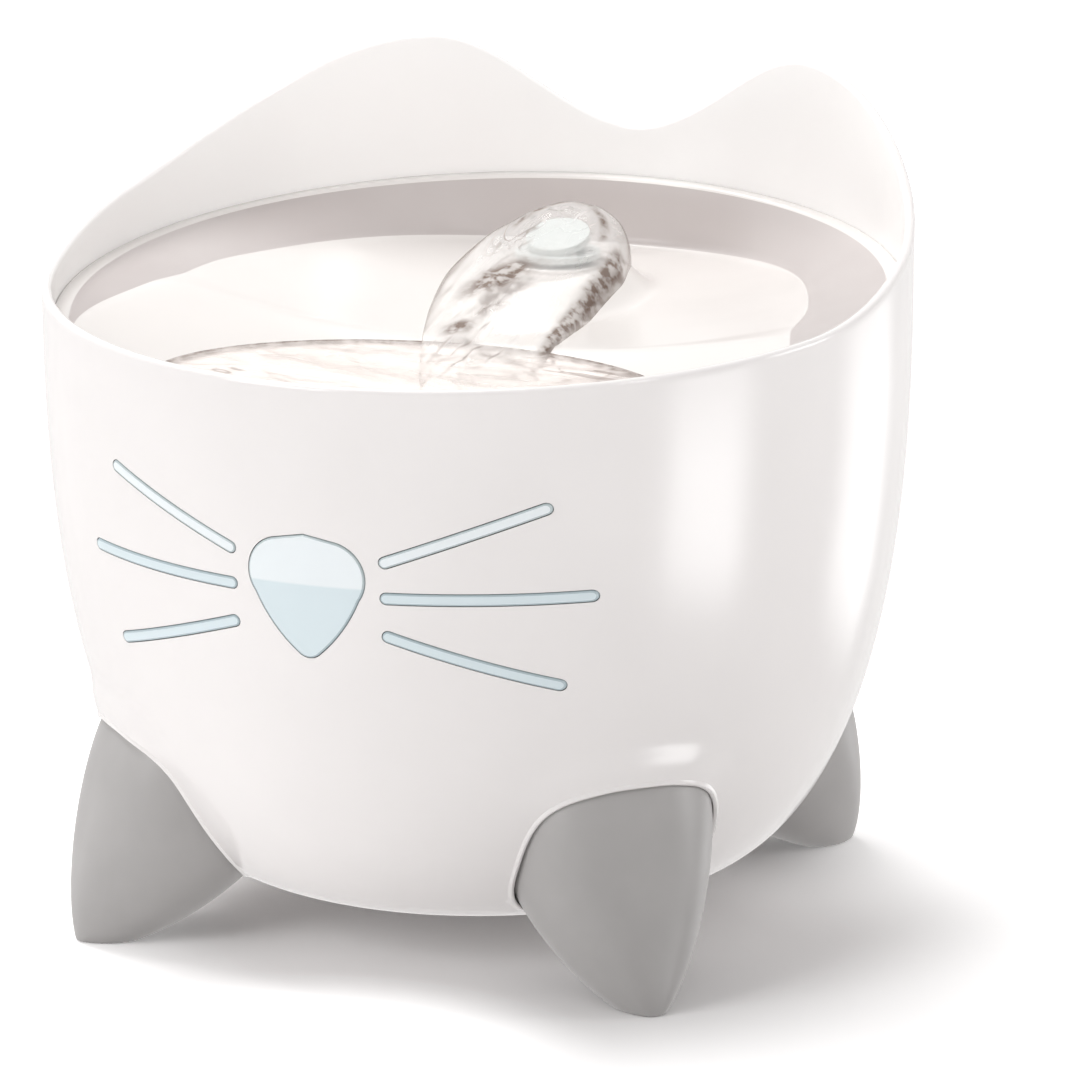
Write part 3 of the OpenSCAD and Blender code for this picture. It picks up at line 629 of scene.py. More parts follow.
@dataclass(frozen=True)
class Water(Finish):
    """Running or still water: nearly clear; its grey-brown ripple lines, darker rims and shaded folds are
    painted shade.

    The folds' painted shade comes from the point attribute "fold" of the piece, 0 where the water lies
    smooth.
    """

    # Colour of the painted shade in ripple lines, rims and folds
    painted_shade_colour: str = "#6E5A4E"
    clear: float = 0.2
    dense: float = 0.9
    line_share: float = 0.5
    line_width: float = 0.035
    rim_share: float = 0.5
    flow: Point = (140.0, 30.0, 40.0)

    def make(self) -> bpy.types.Material:
        """Builds the nodes.

        Returns:
            The new material.
        """
        made, tree = bare_material(self.name)
        place = node(tree, "ShaderNodeTexCoord").outputs["Object"]
        run = node(tree, "ShaderNodeMapping", {"Vector": place, "Scale": self.flow}).outputs["Vector"]
        wave = noise(tree, run, 1.0, 2.5, Distortion=0.8)
        bump = node(tree, "ShaderNodeBump", {"Height": wave, "Strength": self.grain, "Distance": 2 * MM})
        # Ripple lines and the folds' mottled shade are painted shade
        marks = sums(tree, "MAXIMUM", self.lines(tree, run, wave), self.folds(tree, place))
        facing = node(tree, "ShaderNodeLayerWeight", {"Blend": 0.3}).outputs["Facing"]
        # Rims seen edge-on take the painted shade colour too
        share = sums(tree, "MAXIMUM", marks, ramp(tree, facing, 0.4, 0.66, 0.0, self.rim_share))
        shader = node(
            tree,
            "ShaderNodeBsdfPrincipled",
            {
                "Base Color": mixed(tree, share, self.colour, self.painted_shade_colour),
                "Roughness": self.roughness,
                "IOR": 1.333,
                "Alpha": ramp(tree, share, 0.0, 1.0, self.clear, self.dense),
                "Normal": bump.outputs["Normal"],
            },
        )
        cover(tree, shader.outputs["BSDF"])
        return made

    def lines(self, tree: Tree, run: Socket, wave: Socket) -> Socket:
        """Draws thin lines of painted shade along the wave's middle level, in patches."""
        ridge = sums(tree, "ABSOLUTE", sums(tree, "SUBTRACT", wave, 0.5))
        lines = ramp(tree, ridge, self.line_width, 0.0, 0.0, self.line_share, True)
        return sums(tree, "MULTIPLY", lines, ramp(tree, noise(tree, run, 0.45, 1.0), 0.42, 0.58, 0.1))

    def folds(self, tree: Tree, place: Socket) -> Socket:
        """Gives the painted shade of the piece's folds, a little mottled."""
        fold = node(tree, "ShaderNodeAttribute", attribute_name="fold", attribute_type="GEOMETRY")
        mottle = ramp(tree, noise(tree, place, 330.0, 2.0), 0.4, 0.56, 0.6)
        return sums(tree, "MULTIPLY", fold.outputs["Fac"], mottle)


# Injection-moulded ABS, polished mould: hard gloss that mirrors the lamps, warm white
SHELL_WHITE = Finish(
    "abs_gloss_white", "#F6F3F2", "#F1EEED", 0.16, patch_mm=90, grain_mm=1.2, grain=0.01, coat=0.35
)
# The same ABS inside the tank, where the mould isn't polished
SHELL_INNER = Finish("abs_satin_white", "#EFEBEA", "#E9E5E4", 0.34, patch_mm=60, grain_mm=0.8, grain=0.03)
# The ears' inside above the dish, smooth; painted light makes it the whitest face of the moulding
EAR_WHITE_PAINTED_LIGHT = Finish("abs_smooth_painted_light", "#FBFAF9", "#F8F6F5", 0.22, patch_mm=80, grain_mm=1.0, grain=0.01)
# ABS with a fine spark-eroded satin, grey: broad soft highlights
FOOT_GREY = Finish("abs_satin_grey", "#B1AFAE", "#A9A7A6", 0.38, patch_mm=30, grain_mm=0.6, grain=0.05)
# Polypropylene dish, milky and smooth
DISH_WHITE = Finish("pp_milky_white", "#ECE8E5", "#E8E4E1", 0.22, patch_mm=70, grain_mm=1.0, coat=0.2)
# The dish's drawn-up sides: the same polypropylene, painted greyer than its floor as painted shade
DISH_SIDE_PAINTED_SHADE = Finish("pp_milky_painted_shade", "#C6BFBD", "#C0B8B6", 0.34, patch_mm=50, grain_mm=1.0, grain=0.03)
# Panes moulded in clear polystyrene with a breath of blue, polished
WINDOW_CLEAR = Window(
    "polystyrene_clear_blue", "#F3FAFD", "#F3FAFD", 0.12, ior=1.59, patch_mm=30, grain_mm=1.5,
    transmission=0.03, wet="#DFEDF2"
)
# The same pane's cut edge, painted darker: painted shade for the dark line where light gathers at the edge
WINDOW_EDGE_PAINTED_SHADE = Window(
    "polystyrene_edge_painted_shade", "#C0CCCF", "#C0CCCF", 0.2, ior=1.59, patch_mm=30, grain_mm=1.5, wet="#B5C5CB"
)
# Water that runs thinly over white plastic: bright, with thin ripple lines of painted shade along its run
STREAM = Water(
    "water_running", "#FFFEFC", "#FFFEFC", 0.04, grain=0.22, clear=0.26, line_share=0.8, line_width=0.022,
    rim_share=0.8, flow=(110.0, 30.0, 60.0)
)
# The pool's surface, broken by ripples that run out sideways, with painted shade lines
POOL = Water(
    "water_pool", "#FAF4F0", "#FAF4F0", 0.05, grain=0.2, clear=0.36, line_share=0.8, line_width=0.04,
    rim_share=0.0, flow=(40.0, 90.0, 40.0)
)
# Calm water in the tank, with a little painted shade at its rims
STILL = Water(
    "water_still", "#DDEBF0", "#DDEBF0", 0.03, grain=0.03, clear=0.35, line_share=0.0, rim_share=0.1,
    flow=(20.0, 20.0, 20.0)
)
# Coconut-shell charcoal, crushed: dull black, broken faces
CARBON = Finish("carbon_granules", "#1D1D1E", "#2B2B2D", 0.7, patch_mm=2, grain_mm=0.4, grain=0.6)
# Ion-exchange resin cast as round beads, amber and slightly clear
RESIN = Finish(
    "resin_beads_amber", "#C98A3A", "#B87A30", 0.2, patch_mm=4, grain_mm=0.6, grain=0.05, transmission=0.2
)

NODE_FINISHES: dict[str, Finish] = {
    # Rubber and silicone, pressed in satin moulds
    "cord_gland": Finish("tpe_rubber_grey", "#8C8B8A", "#838281", 0.6, grain_mm=0.4, grain=0.08),
    "spout_seal": Finish("silicone_clear", "#DDE0DF", "#D6D9D8", 0.35, transmission=0.3, ior=1.41),
    # Injection-moulded polypropylene, from nearly glossy to satin
    "spout_nozzle": Finish("pp_spout_pale", "#CDD1CF", "#C6CAC8", 0.22, patch_mm=20, grain_mm=0.6),
    "filter_pan": Finish("pp_satin_white", "#ECEAE7", "#E5E3E0", 0.36, grain_mm=0.9, grain=0.03),
    "filter_grille": Finish("pp_lid_white", "#E9E7E5", "#E1DFDD", 0.4, grain_mm=0.9, grain=0.03),
    "cartridge_frame": Finish("pp_light_grey", "#C9CBCB", "#C1C3C3", 0.42, grain_mm=0.8, grain=0.04),
    "riser_tube": Finish("pp_tube_white", "#E6E8E8", "#DEE0E0", 0.33, transmission=0.15),
    # Open-cell foam, cut from a block
    "filter_foam": Finish(
        "polyurethane_foam_blue", "#7FA6C4", "#6F97B8", 0.95, patch_mm=3, grain_mm=0.9, grain=0.9
    ),
    # Injection-moulded ABS in black, satin
    "pump_housing": Finish("abs_pump_black", "#1E2022", "#26282A", 0.42, grain=0.08),
    "pump_end_plate": Finish("abs_plate_black", "#1B1C1E", "#232527", 0.45, grain=0.08),
    "pump_cover": Finish("abs_cover_black", "#222426", "#2A2C2F", 0.4, grain=0.08),
    # Punched steel sheets in a stack, and a winding of lacquered wire
    "stator_core": Finish("silicon_steel_sheets", "#8E9094", "#7D7F84", 0.35, 1.0, patch_mm=6, grain=0.2),
    "stator_coil": Finish(
        "enamelled_copper", "#B5622E", "#A35526", 0.33, 1.0, patch_mm=3, grain_mm=0.3, grain=0.4
    ),
    # Poured resin, set with a level skin
    "potting": Finish("epoxy_cast_black", "#141414", "#1C1C1B", 0.22, grain_mm=3.0, grain=0.1),
    # Moulded acetal, pressed and fired ferrite, ground steel and fired ceramic
    "impeller": Finish("acetal_white", "#EDEDEA", "#E5E5E2", 0.38, grain=0.04),
    "rotor_magnet": Finish(
        "sintered_ferrite", "#4A4C4F", "#3F4144", 0.55, patch_mm=4, grain_mm=0.3, grain=0.3
    ),
    "impeller_shaft": Finish(
        "ground_stainless", "#C8CACC", "#BDBFC2", 0.18, 1.0, patch_mm=5, grain_mm=0.2, grain=0.1
    ),
    "rear_bush": Finish("ceramic_rear", "#EFEDE8", "#E7E5DF", 0.33, grain_mm=0.3, grain=0.05),
    "front_bush": Finish("ceramic_front", "#EFEDE8", "#E7E5DF", 0.33, grain_mm=0.3, grain=0.05),
    # Soft PVC, moulded clear
    "suction_cup": Finish("pvc_cup_clear", "#D9E0E0", "#D0D8D8", 0.22, transmission=0.5, ior=1.53),
}


def place_piece(thing: bpy.types.Object, body: Body, slot: str, *nodes: str) -> None:
    """Lets a piece ride on a body and stand for CAD nodes.

    Args:
        thing: The piece.
        body: The body it moves with.
        slot: The name of a material slot; not used.
        nodes: The nodes it replaces, if any.
    """
    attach(thing, body.value)
    if nodes:
        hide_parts(*nodes)
    log.info("%s: %d faces", thing.name, len(thing.data.polygons))


# ---------- Outlines of the windows ----------


@dataclass(frozen=True)
class Face:
    """The nose and six whiskers as seen from the front, about the nose's middle; angles in degrees.

    Each whisker is its row, the height of its root, and its tip's place across and height.
    """

    nose_z: float = 104.0
    half_w: float = 15.0
    half_h: float = 15.5
    corner_r: float = 9.0
    corner_drop: float = 1.24
    corner_end: float = 75.0
    tip_r: float = 3.9
    cheek: float = 4.0
    root_x: float = 19.8
    whisker_r: float = 1.5
    whiskers: tuple[tuple[str, float, float, float], ...] = (
        ("top", 9.9, 55.4, 23.3),
        ("middle", 1.0, 63.9, 1.3),
        ("bottom", -8.6, 56.4, -20.8),
    )

    def nose(self, grow: float) -> Array:
        """Gives the nose's outline: round upper corners, full cheeks and a small round tip.

        Args:
            grow: How far the outline is grown.

        Returns:
            The outline's points, counter-clockwise.
        """
        top, bottom = self.half_h + grow, -self.half_h - grow
        corner, tip = self.corner_r + grow, self.tip_r + grow
        cx, cy = self.half_w + grow - corner, top - corner - self.corner_drop
        rise = cy - (bottom + tip)
        lean = math.asin((corner - tip) / math.hypot(cx, rise))
        low = -math.degrees(math.atan2(cx, rise)) - math.degrees(lean)
        arc = np.radians(np.linspace(low, self.corner_end, 15))
        right = np.stack([cx + corner * np.cos(arc), cy + corner * np.sin(arc)], 1)
        sweep = np.radians(np.linspace(180 - low, 360 + low, 11))[1:-1]
        foot = np.stack([tip * np.cos(sweep), bottom + tip + tip * np.sin(sweep)], 1)
        t = np.linspace(0, 1, 9)[1:-1, None]
        run = right[0] - foot[-1]
        out = np.array([run[1], -run[0]]) / np.hypot(*run)
        cheek = foot[-1] + run * t + out * self.cheek * t * (1 - t)
        left = [(side * [-1, 1])[::-1] for side in (right, cheek)]
        return np.concatenate([right, [[0, top]], *left, foot, cheek])

    def whisker(self, side: int, root_z: float, tip_x: float, tip_z: float, grow: float) -> Array:
        """Gives one whisker's outline.

        Args:
            side: 1 for the right whisker and -1 for the left.
            root_z: Height of its root over the nose's middle.
            tip_x: Sideways place of its tip.
            tip_z: Height of its tip over the nose's middle.
            grow: How far the outline is grown.

        Returns:
            The outline's points, counter-clockwise.
        """
        root = np.array([self.root_x, root_z])
        run = np.array([tip_x, tip_z]) - root
        length = float(np.hypot(*run))
        r = self.whisker_r + grow
        cap = np.radians(np.linspace(-90, 90, 9))
        far = np.stack([length + r * np.cos(cap), r * np.sin(cap)], 1)
        near = np.stack([-r * np.cos(cap[::-1]), r * np.sin(cap[::-1])], 1)
        steps = np.linspace(0, length, 34)[1:-1]
        low = np.stack([steps, np.full_like(steps, -r)], 1)
        high = np.stack([steps[::-1], np.full_like(steps, r)], 1)
        flat = np.concatenate([low, far, high, near])
        u = run / length
        points = root + flat[:, :1] * u + flat[:, 1:] * np.array([-u[1], u[0]])
        return points if side > 0 else (points * [-1, 1])[::-1]

    def openings(self) -> dict[str, Callable[[float], Array]]:
        """Gives the seven windows: each node with the rule of its outline."""
        rules: dict[str, Callable[[float], Array]] = {"nose_window": self.nose}
        for name, side in (("left", -1), ("right", 1)):
            for row, *spots in self.whiskers:
                rules[f"whisker_{name}_{row}"] = partial(self.whisker, side, *spots)
        return rules

    def on_belly(self, flat: Array, depth: float) -> Array:
        """Puts an outline on the belly's outer or inner skin, seen from the front.

        Args:
            flat: Points about the nose's middle.
            depth: How far inside the outer skin they lie.

        Returns:
            Points in millimetres.
        """
        z = flat[:, 1] + self.nose_z
        lift = FORM.floor_t if depth > FORM.wall / 2 else 0.0
        radius = FORM.belly(z - lift) - depth
        y = -np.sqrt(np.maximum(radius**2 - flat[:, 0] ** 2, 1.0))
        return np.stack([flat[:, 0], y, z], axis=-1)


FACE = Face()
FIT = 0.1


# ---------- Tank shell ----------


@dataclass
class Skin:
    """One face of the tank's wall as a grid of angle and share, with openings cut in it."""

    mesher: Mesher
    angles: Array
    shares: Array
    place: Callable[[Array, Array], Array]
    lift: float = 0.0
    tone: int = 0
    stretch: tuple[float, float] = (1.8, 175.0)
    clearance: float = 0.7
    numbers: Array = field(init=False)
    taken: Array = field(init=False)

    def __post_init__(self) -> None:
        """Adds the grid's points."""
        a, s = np.meshgrid(self.angles, self.shares)
        self.numbers = self.mesher.add(self.place(a, s))
        self.taken = np.zeros((len(self.shares) - 1, len(self.angles)), bool)

    def domain(self, points: Array) -> Array:
        """Gives the angle and share of points on the skin.

        Args:
            points: Points in millimetres.

        Returns:
            One row of angle and share for each.
        """
        angle = front_angle(points)
        angle = np.where(angle < self.angles[0], angle + 360, angle)
        return np.stack([angle, Tank.share(points[:, 2] - self.lift)], 1)

    def cut(self, loops: Sequence[tuple[Array, Array]]) -> None:
        """Cuts openings that lie near each other.

        Args:
            loops: For each, the points of its outline and their numbers.
        """
        first, step = self.angles[0], self.angles[1] - self.angles[0]
        spans = [self.domain(points) for points, _ in loops]
        spots = np.concatenate(spans)
        i0 = int((spots[:, 0].min() - first) // step) - 1
        i1 = int((spots[:, 0].max() - first) // step) + 2
        j0 = max(0, int(np.searchsorted(self.shares, spots[:, 1].min())) - 2)
        j1 = min(len(self.shares) - 1, int(np.searchsorted(self.shares, spots[:, 1].max())) + 1)
        count = len(self.angles)
        columns = np.arange(i0, i1 + 1)
        self.taken[j0:j1, columns[:-1] % count] = True
        scale = np.array(self.stretch)
        flat, numbers, edges = [], [], []

        def keep(places: Sequence[tuple[int, int]]) -> None:
            """Takes over points of the grid."""
            for i, j in places:
                flat.append([first + step * i, self.shares[j]])
                numbers.append(self.numbers[j, i % count])

        def outside(middles: Array) -> Array:
            """Says which spots lie in no opening."""
            free = np.ones(len(middles), bool)
            for span in spans:
                free &= ~inside(middles, span * scale)
            return free

        rim = [(i, j0) for i in columns[:-1]] + [(i1, j) for j in range(j0, j1)]
        rim += [(i, j1) for i in columns[:0:-1]] + [(i0, j) for j in range(j1, j0, -1)]
        keep(rim)
        edges += [(k, (k + 1) % len(rim)) for k in range(len(rim))]
        for span, (_, own) in zip(spans, loops):
            start, n = len(flat), len(span)
            flat += span.tolist()
            numbers += own.tolist()
            edges += [(start + k, start + (k + 1) % n) for k in range(n)]
        inner = np.array([(i, j) for i in range(i0 + 1, i1) for j in range(j0 + 1, j1)])
        place = np.stack([first + step * inner[:, 0], self.shares[inner[:, 1]]], 1) * scale
        keep(inner[(gap_to(place, spots * scale) > self.clearance) & outside(place)])
        self.mesher.tone = self.tone
        self.mesher.triangles(np.array(flat) * scale, np.array(numbers), edges, outside)
        self.mesher.tone = 0

    def close(self) -> None:
        """Adds the quads that no opening touched."""
        self.mesher.tone = self.tone
        for j, i in zip(*np.nonzero(~self.taken)):
            k = (i + 1) % len(self.angles)
            low, high = self.numbers[j], self.numbers[j + 1]
            self.mesher.face(low[i], low[k], high[k], high[i])
        self.mesher.tone = 0


@dataclass
class Tank:
    """The tank's shell: belly, rim with ears, hips, seats, window and gland openings, ledge and ribs.

    A share is a place up the wall, 0 at the base. It steps finely where the belly curves most.
    """

    columns: int = 360
    first_column: float = -170.0
    low_rows: int = 84
    high_rows: int = 12
    inner_rows: int = 64
    split_z: float = 145.0
    inner_top_z: float = 140.0
    inner_bend: float = 0.6
    lip_r: float = 1.25
    bore_r: float = 105.5
    ledge_r: float = 103.9
    ledge_t: float = 4.0
    sharp: float = 38.0
    seat_mouth: float = 1.055
    seat_lips: tuple[tuple[float, float], ...] = ((1.044, 0.3), (1.026, 0.5), (1.01, 0.36))
    pad_size: float = 1.06
    pad_t: float = 4.0
    gland_z: float = 133.0
    gland_r: float = 7.6
    gland_neck_r: float = 5.1
    gland_pad_r: float = 9.0
    gland_step: float = 1.25
    gland_depth: float = 5.5
    rib_angles: tuple[float, ...] = (54.0, -54.0, 118.0, -118.0)
    rib_profile: tuple[tuple[float, float], ...] = ((95.5, 115.15), (95.5, 111.0), (98.5, 89.2))
    rib_t: float = 3.0
    rib_sink: float = 0.9
    boss_r: float = 6.0
    boss_low: float = 1.0
    boss_high: float = 10.0
    boss_bevel: float = 0.6

    @staticmethod
    def height(share: Array) -> Array:
        """Gives the height at a share below the split."""
        return FORM.base_z + (1 - np.cos(np.radians(90 * share))) * FORM.rise

    @staticmethod
    def share(z: Array) -> Array:
        """Gives the share at a height below the split."""
        return np.degrees(np.arccos(1 - np.clip((z - FORM.base_z) / FORM.rise, 0, 1))) / 90

    def outer(self, angle: Array, share: Array) -> Array:
        """Gives points of the outer skin; past the split, shares run on to the rim by 1.

        Args:
            angle: Angles from the front.
            share: Shares.

        Returns:
            Points in millimetres.
        """
        split = self.share(self.split_z)
        over = np.clip((share - split) / (1.0 - split), 0, 1)
        above = self.split_z + over * (FORM.rim(angle) - self.lip_r - self.split_z)
        z = np.where(share <= split, self.height(np.minimum(share, split)), above)
        return polar(FORM.belly(z) + FORM.hip(angle, z), angle, z)

    def inner(self, angle: Array, share: Array) -> Array:
        """Gives points of the inner skin, from the floor to under the ledge.

        Args:
            angle: Angles from the front.
            share: Shares.

        Returns:
            Points in millimetres.
        """
        z, last = self.height(share) + FORM.floor_t, self.share(self.inner_top_z)
        stretch = self.ledge_z(angle) - self.ledge_t - 1.0 - (self.height(last) + FORM.floor_t)
        bend = self.inner_bend
        z = np.where(share > bend, z + stretch * smooth((share - bend) / (last - bend)), z)
        return polar(FORM.bore(z), angle, z)

    def ledge_z(self, angle: Array) -> Array:
        """Gives the height of the ledge, on which the dish's flange lies."""
        return DISH.edge(-self.bore_r * np.cos(np.radians(angle))) - DISH.flange_t - DISH.flange_gap

    def seat_loop(self, phi: Array, scale: float, within: bool) -> Array:
        """Finds where a seat's outline meets a skin, for a foot at the front.

        Args:
            phi: Angles round the outline.
            scale: Share of the full outline.
            within: Whether the skin is the inner one.

        Returns:
            Points in millimetres.
        """
        start = FORM.seat_point(phi, scale, FORM.seat_r, FORM.seat_z)
        low, high = np.full(len(phi), -12.0), np.full(len(phi), 30.0)
        for _ in range(40):
            middle = (low + high) / 2
            p = start + middle[:, None] * FORM.seat_normal
            hip = FORM.hip(front_angle(p) + FORM.foot_angles[0], p[:, 2])
            skin = FORM.bore(p[:, 2]) if within else FORM.belly(p[:, 2]) + hip
            out = np.hypot(p[:, 0], p[:, 1]) > skin
            high, low = np.where(out, middle, high), np.where(out, low, middle)
        return start + low[:, None] * FORM.seat_normal

    def build(self) -> None:
        """Makes the shell."""
        mesher = Mesher()
        angles = ring_angles(self.columns, self.first_column)
        split, last = self.share(self.split_z), self.share(self.inner_top_z)
        low, high = np.linspace(0, split, self.low_rows + 1), np.linspace(split, 1.0, self.high_rows + 1)
        outer = Skin(mesher, angles, np.concatenate([low, high[1:]]), self.outer)
        inner = Skin(mesher, angles, np.linspace(0, last, self.inner_rows), self.inner, FORM.floor_t, 1)
        for cut in (self.cut_windows, self.cut_seats, self.cut_gland):
            cut(mesher, outer, inner)
        outer.close()
        inner.close()
        self.join_rim(mesher, outer, inner)
        self.floor(mesher, outer, inner)
        self.ribs(mesher)
        self.bosses(mesher)
        shell = mesher.build("tank_skin", [SHELL_WHITE, SHELL_INNER, EAR_WHITE_PAINTED_LIGHT], self.sharp)
        place_piece(shell, Body.TANK, "shell_white", "tank_shell")

    def cut_windows(self, mesher: Mesher, outer: Skin, inner: Skin) -> None:
        """Cuts the seven openings in the face.

        Args:
            mesher: The shell's mesher.
            outer: The outer skin.
            inner: The inner skin.
        """
        loops = []
        for outline in FACE.openings().values():
            faces = [FACE.on_belly(outline(FIT), depth) for depth in (0.0, FORM.wall)]
            loops.append([(points, mesher.add(points)) for points in faces])
            mesher.bridge(loops[-1][0][1], loops[-1][1][1])
        outer.cut([near for near, _ in loops])
        inner.cut([far for _, far in loops])

    def cut_seats(self, mesher: Mesher, outer: Skin, inner: Skin) -> None:
        """Cuts the four seats with rounded lips and closes each by a pad inside the tank.

        Args:
            mesher: The shell's mesher.
            outer: The outer skin.
            inner: The inner skin.
        """
        phi = ring_angles(112)[::-1]
        rings = [self.seat_loop(phi, self.seat_mouth, False)]
        for scale, lift in self.seat_lips:
            lip = self.seat_loop(phi, scale, False)
            away = lip * [1.0, 1.0, 0.0]
            rings.append(lip + lift * (away / np.linalg.norm(away, axis=1)[:, None] - [0.0, 0.0, 0.3]))
        rings.append(self.seat_loop(phi, 1.0, False))
        rings.append(FORM.seat_point(phi, 1.0, FORM.seat_r, FORM.seat_z))
        lift = -self.pad_t * FORM.seat_normal
        pads = [self.seat_loop(phi, self.pad_size, True)]
        pads.append(FORM.seat_point(phi, self.pad_size, FORM.seat_r, FORM.seat_z) + lift)
        for foot in FORM.foot_angles:
            for skin, loops, sunk in ((outer, rings, 0.0), (inner, pads, lift)):
                points = [turned(loop, foot) for loop in loops]
                numbers = [mesher.add(loop) for loop in points]
                mesher.rows(numbers)
                mesher.fan(numbers[-1], turned(FORM.seat_middle + sunk, foot))
                skin.cut([(points[0], numbers[0])])

    def cut_gland(self, mesher: Mesher, outer: Skin, inner: Skin) -> None:
        """Cuts the stepped hole for the cord gland and adds the pad round it.

        Args:
            mesher: The shell's mesher.
            outer: The outer skin.
            inner: The inner skin.
        """
        turn = np.radians(ring_angles(48))
        back = float(FORM.belly(self.gland_z))
        step, depth = back - self.gland_step, back - self.gland_depth

        def ring(r: float, skin: Callable[[Array], Array] | float) -> Array:
            """Gives a ring about the gland's axis, on a skin or at a fixed distance."""
            x, z = -r * np.cos(turn), self.gland_z + r * np.sin(turn)
            y = np.sqrt(skin(z) ** 2 - x**2) if callable(skin) else np.full_like(x, skin)
            return np.stack([x, y, z], 1)

        rings = [ring(self.gland_r, FORM.belly), ring(self.gland_r, step), ring(self.gland_neck_r, step)]
        rings += [ring(self.gland_neck_r, depth), ring(self.gland_pad_r, depth)]
        rings.append(ring(self.gland_pad_r, FORM.bore))
        numbers = [mesher.add(points) for points in rings]
        mesher.rows(numbers)
        outer.cut([(rings[0], numbers[0])])
        inner.cut([(rings[-1], numbers[-1])])

    def join_rim(self, mesher: Mesher, outer: Skin, inner: Skin) -> None:
        """Rounds the lip and steps down over the ledge to the inner skin.

        Args:
            mesher: The shell's mesher.
            outer: The outer skin.
            inner: The inner skin.
        """
        angles, r = outer.angles, self.lip_r
        top, middle, ledge = FORM.rim(angles) - r, FORM.rim_r - r, self.ledge_z(angles)
        rows = [outer.numbers[-1]]
        for turn in np.radians(np.linspace(0, 180, 11))[1:]:
            rows.append(mesher.ring(middle + r * math.cos(turn), angles, top + r * math.sin(turn)))
        for share in (0.25, 0.5, 0.75, 1.0):
            rows.append(mesher.ring(self.bore_r, angles, top + share * (ledge - top)))
        low = [rows[-1], mesher.ring(self.ledge_r, angles, ledge)]
        low += [mesher.ring(self.ledge_r, angles, ledge - self.ledge_t), inner.numbers[-1]]
        # The lip's inside down to the ledge takes the whiter finish, which is painted light
        for tone, part in ((0, rows[:8]), (2, rows[7:]), (1, low)):
            mesher.tone = tone
            mesher.rows(part)
        mesher.tone = 0

    def floor(self, mesher: Mesher, outer: Skin, inner: Skin) -> None:
        """Closes the base and the tank's floor.

        Args:
            mesher: The shell's mesher.
            outer: The outer skin.
            inner: The inner skin.
        """
        for skin, radius in ((outer, FORM.belly_r), (inner, FORM.belly_r - FORM.wall)):
            mesher.tone, z = skin.tone, FORM.base_z + skin.lift
            rings = [mesher.ring(radius * share, skin.angles, z) for share in (0.75, 0.5, 0.25)]
            mesher.rows([skin.numbers[0], *rings])
            mesher.fan(rings[-1], (0, 0, z))
        mesher.tone = 0

    def ribs(self, mesher: Mesher) -> None:
        """Adds the four ribs that carry the filter pan.

        Args:
            mesher: The shell's mesher.
        """
        near = np.array(self.rib_profile)
        wall = np.stack([FORM.bore(near[:, 1]) + self.rib_sink, near[:, 1]], 1)
        profile = np.concatenate([near, wall[::-1]])
        for angle in self.rib_angles:
            sides = []
            for half in (-self.rib_t / 2, self.rib_t / 2):
                points = np.stack([np.full(len(profile), half), -profile[:, 0], profile[:, 1]], 1)
                sides.append(mesher.add(turned(points, angle)))
            mesher.bridge(*sides)
            mesher.face(*sides[0])
            mesher.face(*sides[1][::-1])

    def bosses(self, mesher: Mesher) -> None:
        """Adds the round boss over each foot's peg.

        Args:
            mesher: The shell's mesher.
        """
        tilt, turn = math.radians(FORM.seat_tilt), np.radians(ring_angles(32))[:, None]
        up, side = np.array([0.0, -math.cos(tilt), math.sin(tilt)]), np.array([1.0, 0.0, 0.0])
        spokes = np.cos(turn) * up + np.sin(turn) * side
        r, bevel = self.boss_r, self.boss_bevel
        levels = ((r, self.boss_low), (r, self.boss_high - bevel), (r - bevel, self.boss_high))
        for foot in FORM.foot_angles:
            middles = [FORM.seat_middle - lift * FORM.seat_normal for _, lift in levels]
            rows = [mesher.add(turned(at + r * spokes, foot)) for at, (r, _) in zip(middles, levels)]
            mesher.rows(rows)
            for k in (0, -1):
                mesher.fan(rows[k], turned(middles[k], foot))


@dataclass
class Windows:
    """The clear nose and whiskers: a plug through the wall, a bevelled face and a flange behind."""

    proud: float = 0.3
    bevel: float = 0.45
    lip: float = 1.5
    lip_t: float = 1.2
    spacing: float = 1.6
    sharp: float = 12.0

    def build(self) -> None:
        """Makes the seven panes."""
        for name, outline in FACE.openings().items():
            place_piece(self.pane(name, outline), Body.TANK, "window_clear", name)

    def pane(self, name: str, outline: Callable[[float], Array]) -> bpy.types.Object:
        """Makes one pane.

        Args:
            name: Its node.
            outline: The rule of its outline.

        Returns:
            The pane.
        """
        mesher = Mesher()
        seat, back = FORM.wall + FIT, FORM.wall + self.lip_t
        levels = [
            (-FIT - self.bevel, -self.proud),
            (-FIT - self.bevel * 0.3, -self.proud * 0.6),
            (-FIT, self.proud * 0.4),
            (-FIT, seat),
            (self.lip, seat),
            (self.lip, back),
        ]
        rings = [mesher.add(FACE.on_belly(outline(grow), depth)) for grow, depth in levels]
        # The bevel, plug and flange take the darker edge finish, which is painted shade
        mesher.tone = 1
        mesher.rows(rings)
        mesher.tone = 0
        for ring, (grow, depth) in ((rings[0], levels[0]), (rings[-1], levels[-1])):
            mesher.fill(ring, outline(grow), self.spacing, partial(FACE.on_belly, depth=depth))
        return mesher.build(f"{name}_pane", [WINDOW_CLEAR, WINDOW_EDGE_PAINTED_SHADE], self.sharp)


